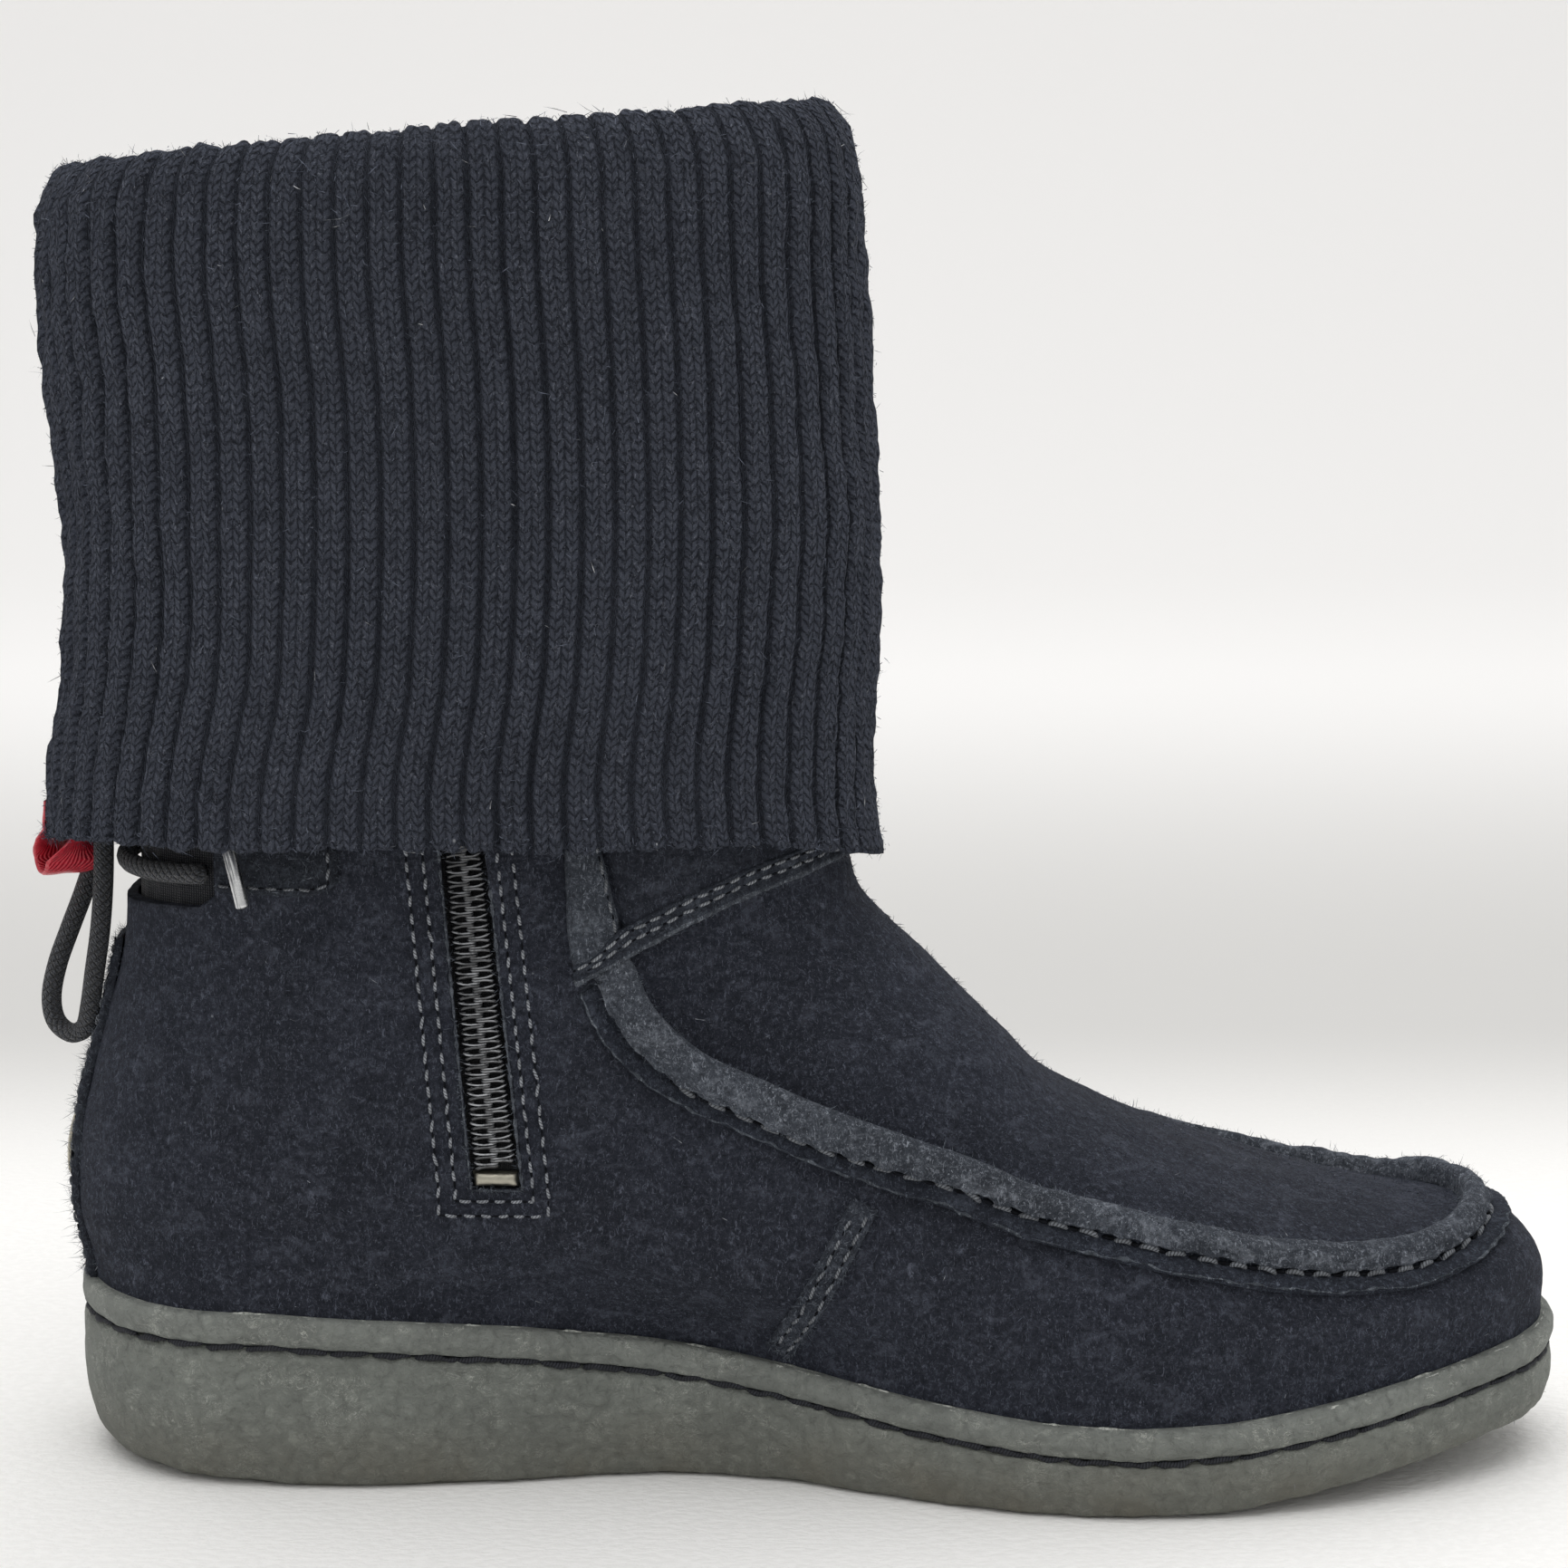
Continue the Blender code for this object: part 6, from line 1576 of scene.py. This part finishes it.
def lacing():
    """The free cord behind the heel: hanging loop, knot, and an end with its metal tag."""
    finish = cord_look()
    knot_path = []
    for angle in np.linspace(0, 2 * math.pi, 120):
        knot_path.append((
            0.00085 * (math.sin(angle) + 2 * math.sin(2 * angle)),
            0.00085 * (math.cos(angle) - 2 * math.cos(2 * angle)),
            -0.0012 * math.sin(3 * angle),
        ))
    knot_path = np.array(knot_path) + np.array(KNOT_CENTRE)
    points, faces, uv = tube(knot_path, 0.00135, 12)
    knot = piece("cord_knot", points, faces, finish, ["lace_knot"], uv=uv * CORD_WEAVE)

    # The tag's darker streaks are painted reflection.
    silver = metal_look("tag_metal_look", srgb(206, 207, 208), 0.3, 0.5, srgb(84, 86, 90))
    head = np.array(END_ROUTE[-1]) + (0.0002, -0.0002, -GAP * 2.2)
    line = np.linspace(head, np.array(TAG_FOOT), 60)
    at = np.linspace(0, 1, 60)
    grooves = [np.exp(-(((at - middle) / 0.03) ** 2)) for middle in (0.12, 0.2)]
    radius = TAG / 2 * (1 - 0.10 * grooves[0] - 0.10 * grooves[1])
    radius[0], radius[-1], radius[-2] = radius[0] * 0.25, radius[-1] * 0.1, radius[-2] * 0.8
    points, faces, uv = tube(line, radius, 20)
    tag = piece("cord_tag", points, faces, silver, ["lace_tag"], uv=uv)

    for name, route, far_end, on_it, node in (
        ("cord_loop", LOOP_ROUTE, "knot", [knot], "lace_loop"),
        ("cord_end", END_ROUTE, "fitting", [tag], "lace_end"),
    ):
        path = smooth_route(route, 0.0008)
        radius = CORD / 2 * np.maximum(round_ends(path, 0.0012), 0.15)
        points, faces, uv = tube(path, radius, 14)
        made = piece(name, points, faces, finish, [node], uv=uv * CORD_WEAVE)
        path = path + PLACE


def lace_bar():
    """The stretch of cord across the heel window."""
    height = WINDOW_FOOT + 0.0070
    back_rows = np.linspace(17.5, 20.0, 60)
    back_z = last_point(back_rows, np.full(back_rows.shape, math.pi))[:, 2]
    row_end, turn_end = find_on_side(np.array([WINDOW_FRONT - 4 * GAP]), np.array([height]), -1)
    share = np.linspace(-1, 1, 90)
    row_back = np.interp(height, back_z, back_rows)
    row = row_back + (row_end[0] - row_back) * share**2
    turn = math.pi - (math.pi - turn_end[0]) * share
    path = on_last(row, turn, np.zeros(share.shape))
    points, faces, uv = tube(path, CORD / 2 * np.maximum(round_ends(path, 0.0012), 0.15), 14)
    finish = cord_look()
    piece("cord_bar", points, faces, finish, ["lace_bar"], uv=uv * CORD_WEAVE)


def red_tab():
    """The bare folded ribbon at the back of the hem, its bow turned towards the inner side."""
    hem = float(cuff_hem(CUFF_SECTIONS[0][1] * LENGTH))
    legs = []
    for out in (GAP, GAP + TAB_RIBBON):
        shares = np.linspace(0.06, 0.0, 12)
        outer = [cuff_point(share, math.pi, -out) for share in shares]
        inner = [cuff_point(share, math.pi, CUFF_LAYER + 0.0010 + out) for share in shares[::-1]]
        first, last = outer[-1], inner[0]
        bow = []
        for angle in np.linspace(0, math.pi, 30)[1:-1]:
            place = (1 - math.cos(angle)) / 2
            depth = (0.0058 + out) * math.sin(angle) ** 0.6
            bow.append((first[0] + place * (last[0] - first[0]), 0.0, hem - depth))
        legs.append(np.array([(p[0], 0.0, p[2]) for p in outer] + bow + [(p[0], 0.0, p[2]) for p in inner]))
    inside, outside = legs
    middle = (inside + outside) / 2
    thick = outside - inside
    thick /= np.linalg.norm(thick, axis=1, keepdims=True)
    wide = np.linspace(-1, 1, 25)
    round_off = np.sqrt(np.clip(1 - np.clip((np.abs(wide) - 0.9) / 0.1, 0, 1) ** 2, 0.04, 1))
    layers = []
    for face in (1, -1):
        half = TAB_RIBBON * 0.42 * face * round_off
        grid = middle[:, None] + thick[:, None] * half[None, :, None]
        grid[..., 1] += wide[None, :] * TAB_WIDTH / 2
        grid += thick[:, None] * (0.0001 * waves(grid, 0.006, 51, 2))[..., None]
        layers.append(grid)
    sheet = np.concatenate([layers[0], layers[1][:, ::-1]], axis=1)
    sheet[..., 0] += 0.0015
    pivot = middle[12:-12, 0].mean() + 0.0015
    turned = TAB_TWIST * np.clip((hem + 0.0020 - sheet[..., 2]) / 0.0060, 0, 1)
    x, y = sheet[..., 0] - pivot, sheet[..., 1].copy()
    sheet[..., 0] = pivot + x * np.cos(turned) - y * np.sin(turned)
    sheet[..., 1] = x * np.sin(turned) + y * np.cos(turned)
    look = Look("red_satin", 0.30, Sheen_Weight=0.2, Specular_IOR_Level=0.5, Coat_Weight=0.3)
    look.shader.inputs["Sheen Tint"].default_value = srgb(220, 120, 130)
    rib = look.node("TexWave", [("bands_direction", "Y")], Scale=700, Distortion=0.6, Vector=look.places)
    fine = look.noise(1500, 3)
    tone = look.mix(look.step(fine, 0.3, 0.7), srgb(168, 16, 38), srgb(206, 34, 56))
    normal = look.bump(look.math("ADD", rib.outputs["Fac"], fine), 0.00025, 0.6)
    ribbon_faces = quads_of(len(middle), sheet.shape[1])
    piece("tab_ribbon", sheet, ribbon_faces, look.finish(tone, normal), ["red_tab"])


def kept_solids():
    """Finishes for the CAD solids that stay as they are."""
    badge = metal_look("badge_plate", srgb(190, 184, 168), 0.36)
    slider = metal_look("slider_dark", srgb(96, 97, 100), 0.38)
    for name, finish in (
        ("heel_badge", badge),
        ("zip_slider", slider),
        ("heel_gusset", cloth_look("gusset_cloth", srgb(40, 42, 48), 700)),
        ("insole", cloth_look("insole_felt", srgb(64, 65, 70), 420)),
    ):
        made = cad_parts[name]
        made.data.materials.clear()
        made.data.materials.append(finish)


def camera():
    data = bpy.data.cameras.new("photo_camera")
    data.sensor_width = 36.0
    data.lens = CAMERA_LENS
    data.clip_start = 0.05
    data.clip_end = 20.0
    made = bpy.data.objects.new("photo_camera", data)
    made.location = CAMERA_AT
    made.rotation_euler = Euler((math.radians(90 - CAMERA_DOWN), 0.0, 0.0))
    bpy.context.scene.collection.objects.link(made)
    bpy.context.scene.camera = made


def backdrop():
    """A pale sheet that lies under the boot and curves up behind it, painted darker behind the boot towards the
    bend as painted shade.
    """
    y, z = [-3.0, -1.0, -0.3], [0.0, 0.0, 0.0]
    start, bend = 1.45, 0.42
    for angle in np.linspace(0, math.pi / 2, 24):
        y.append(start + bend * math.sin(angle))
        z.append(bend * (1 - math.cos(angle)))
    y.append(start + bend)
    z.append(3.0)
    xs = np.array((-4.0, 0.0, 4.0))
    points = np.array([[(x, b, c) for x in xs] for b, c in zip(y, z)])
    look = Look("backdrop_paper", 0.95, Specular_IOR_Level=0.1)
    grain = look.noise(1.0, 3, 0.55, at=look.stretched((420, 620, 420)))
    axes = look.node("SeparateXYZ", Vector=look.places)
    floor_share = look.step(axes.outputs["Y"], 0.34, 0.12)
    height = look.math("MULTIPLY", look.step(grain, 0.35, 0.65), floor_share)
    # Painted shade: from 0.12 m behind the boot the floor is painted darker, darkest at 0.36 m, and it brightens
    # again by 1.1 m towards the wall.
    far = look.mix(look.step(axes.outputs["Y"], 0.36, 1.10), srgb(206, 205, 203), srgb(252, 251, 250))
    tone = look.mix(floor_share, far, srgb(252, 251, 249))
    tone = look.mix(look.math("MULTIPLY", height, 0.25), tone, srgb(236, 235, 232))
    mesh = bpy.data.meshes.new("backdrop")
    faces = quads_of(len(y), len(xs), closed_around=False)
    corners = [tuple(int(k) for k in face) for face in faces]
    mesh.from_pydata([tuple(p) for p in points.reshape(-1, 3)], [], corners)
    mesh.shade_smooth()
    mesh.materials.append(look.finish(tone, look.bump(height, 0.0004, 0.3)))
    made = bpy.data.objects.new("backdrop", mesh)
    bpy.context.scene.collection.objects.link(made)


def lamp(name, place, aim, size, power, colour=(1.0, 1.0, 1.0)):
    data = bpy.data.lights.new(name, "AREA")
    data.shape = "RECTANGLE"
    data.size, data.size_y = size
    data.energy = power
    data.color = colour
    made = bpy.data.objects.new(name, data)
    made.location = place
    direction = np.array(aim, float) - np.array(place, float)
    made.rotation_euler = Euler((math.acos(-direction[2] / np.linalg.norm(direction)), 0.0,
                                 math.atan2(direction[0], -direction[1]) if abs(direction[0]) + abs(direction[1]) > 1e-9 else 0.0))
    bpy.context.scene.collection.objects.link(made)


def studio():
    world = bpy.data.worlds.new("studio")
    world.use_nodes = True
    world.node_tree.nodes["Background"].inputs["Color"].default_value = (1.0, 0.997, 0.993, 1.0)
    world.node_tree.nodes["Background"].inputs["Strength"].default_value = 0.66
    bpy.context.scene.world = world
    bpy.context.scene.view_settings.view_transform = "Standard"
    lamp("top_light", (0.0, -0.25, 1.5), (0.0, 0.0, 0.0), (1.6, 1.3), 10.8)
    lamp("front_light", (-0.5, -1.5, 0.9), (0.0, 0.0, 0.08), (1.2, 0.9), 7.5)
    lamp("wall_light", (0.0, 1.0, 1.8), (0.0, 1.9, 0.4), (3.0, 0.8), 9.0)


def fibres(name, base, normal, length, wide, lie, colours, droop=0.0):
    """Loose fibres at these points: thin bent ribbons. lie is how far they stand off, 1 for upright."""
    count = len(base)
    out = normal * lie + rng.normal(0, 0.55, (count, 3))
    out[:, 2] -= droop
    out /= np.linalg.norm(out, axis=1, keepdims=True)
    side = np.cross(out, rng.normal(size=out.shape))
    side /= np.linalg.norm(side, axis=1, keepdims=True)
    size = rng.gamma(4.0, length / 4, count)[:, None]
    bend = np.cross(out, side) * size * rng.normal(0, 0.5, (count, 1))
    half = side * rng.uniform(0.5, 1.0, (count, 1)) * wide / 2
    foot, middle, tip = base - out * 0.0001, base + out * size * 0.5 + bend * 0.35, base + out * size + bend
    points = np.stack([foot - half, foot + half, middle + half, middle - half, tip], 1).reshape(-1, 3)
    at = np.arange(count)[:, None] * 5
    faces = np.concatenate([at + (0, 1, 2), at + (0, 2, 3), at + (3, 2, 4)])
    look = Look(name + "_look", 0.95, Specular_IOR_Level=0.1)
    shade = look.noise(700, 1)
    tone = look.mix(look.step(shade, 0.35, 0.65), *colours)
    return piece(name, points, faces, look.finish(tone), placed=True)


def faces_of(made, first=0, last=None):
    """Centres and normals of a piece's faces, from the first to the last that is asked for."""
    count = len(made.data.polygons)
    centres, normals = np.empty(count * 3), np.empty(count * 3)
    made.data.polygons.foreach_get("center", centres)
    made.data.polygons.foreach_get("normal", normals)
    return centres.reshape(-1, 3)[first:last], normals.reshape(-1, 3)[first:last]


def suede_nap():
    """Short fibres that lie on the suede, a little paler than it, and a few specks of lint."""
    count = 30000
    row = rng.uniform(2.6, 17.9, count)
    turn = rng.uniform(-math.pi, math.pi, count)
    point, _, _, normal = last_frame(row, turn)
    slot_x = zip_line((point[:, 2] - ZIP_FOOT[1]) / (ZIP_HEAD[1] - ZIP_FOOT[1]))[0]
    above_foot = point[:, 2] > ZIP_FOOT[1] - 0.0005
    in_slot = (point[:, 1] < 0) & above_foot & (np.abs(point[:, 0] - slot_x) < 0.0056)
    in_window = (point[:, 0] < WINDOW_FRONT + 0.0004) & (point[:, 2] > WINDOW_FOOT - 0.0006)
    edge = np.interp(np.abs(np.degrees(turn)), *np.array(PANEL_EDGE).T)
    on_panel = (row > edge) & (np.abs(np.degrees(turn)) < 64)
    keep = ~(in_slot | in_window)
    out = creased(point) + np.where(on_panel, GAP + OVERLAY, 0.0) + 0.00005
    base = point + normal * out[:, None] + PLACE
    base, normal = base[keep], normal[keep]
    colours = srgb(36, 39, 48), srgb(92, 98, 112)
    fibres("suede_nap_fibres", base, normal, 0.00085, 0.00011, 0.16, colours, 0.35)
    few = slice(0, 320)
    colours = srgb(90, 94, 102), srgb(168, 172, 178)
    fibres("suede_lint", base[few], normal[few], 0.0013, 0.00013, 0.2, colours)


def raw_fibres(name, made, first, last, count, length):
    """Fibres that stand off a raw edge or a worn strip."""
    centres, normals = faces_of(made, first, last)
    chosen = rng.choice(len(centres), count)
    base = centres[chosen] + rng.normal(0, 0.0002, (count, 3))
    fibres(name, base, normals[chosen], length, 0.00009, 0.55, (srgb(58, 63, 72), srgb(120, 127, 136)))


def stitched(name, rows, base):
    """The pieces of some rows of stitches: their threads and the needle holes between them."""
    threads, holes = joined([row[0] for row in rows]), joined([row[1] for row in rows])
    piece(name, threads[0], threads[1], thread_look(name + "_look", base), uv=threads[2])
    look = Look(name + "_hole_look", 0.95, Specular_IOR_Level=0.1)
    tone = look.mix(look.step(look.noise(900, 2), 0.3, 0.7), srgb(12, 13, 16), srgb(26, 28, 33))
    piece(name + "_holes", holes[0], holes[1], look.finish(tone), uv=holes[2])


SEAM_TUCK = 3.4

def panel_low(degrees):
    """Row of the throat panel's lower edge, drawn out across the strap to its corner."""
    edge = np.array([*PANEL_EDGE, (STRAP_CORNER_TURN, STRAP_EDGES[0][0] + 0.03)], float)
    return np.interp(np.abs(degrees), edge[:, 0], edge[:, 1])


STRAP_CORNER_TURN = 70.6

LAP_BAND = 0.60

RIB_LEAN = 0.05

RIB_SHARE = 0.84

TAB_TWIST = math.radians(-58)

CORD_STRANDS = 7
# Strands along and round the cord, for the material's turns
CORD_WEAVE = (CORD_STRANDS, CORD_STRANDS / (math.pi * CORD))

FOLD_MIDDLE = 0.070

ZIP_STITCH_HEELWARD = (0.0030, 0.0060)

ZIP_STITCH_TOEWARD = (0.0021, 0.0048)

def main():
    camera()
    lacing()
    studio()
    backdrop()
    upper_skin()
    suede_nap()
    cuff = knit_cuff()
    knit_fuzz(cuff)
    apron_seam()
    throat_panel()
    for side in (-1, 1):
        throat_strap(side)
        side_lap(side)
        lace_tab(side)
    heel_strip()
    zip_fastening()
    sole()
    lace_bar()
    red_tab()
    kept_solids()


main()
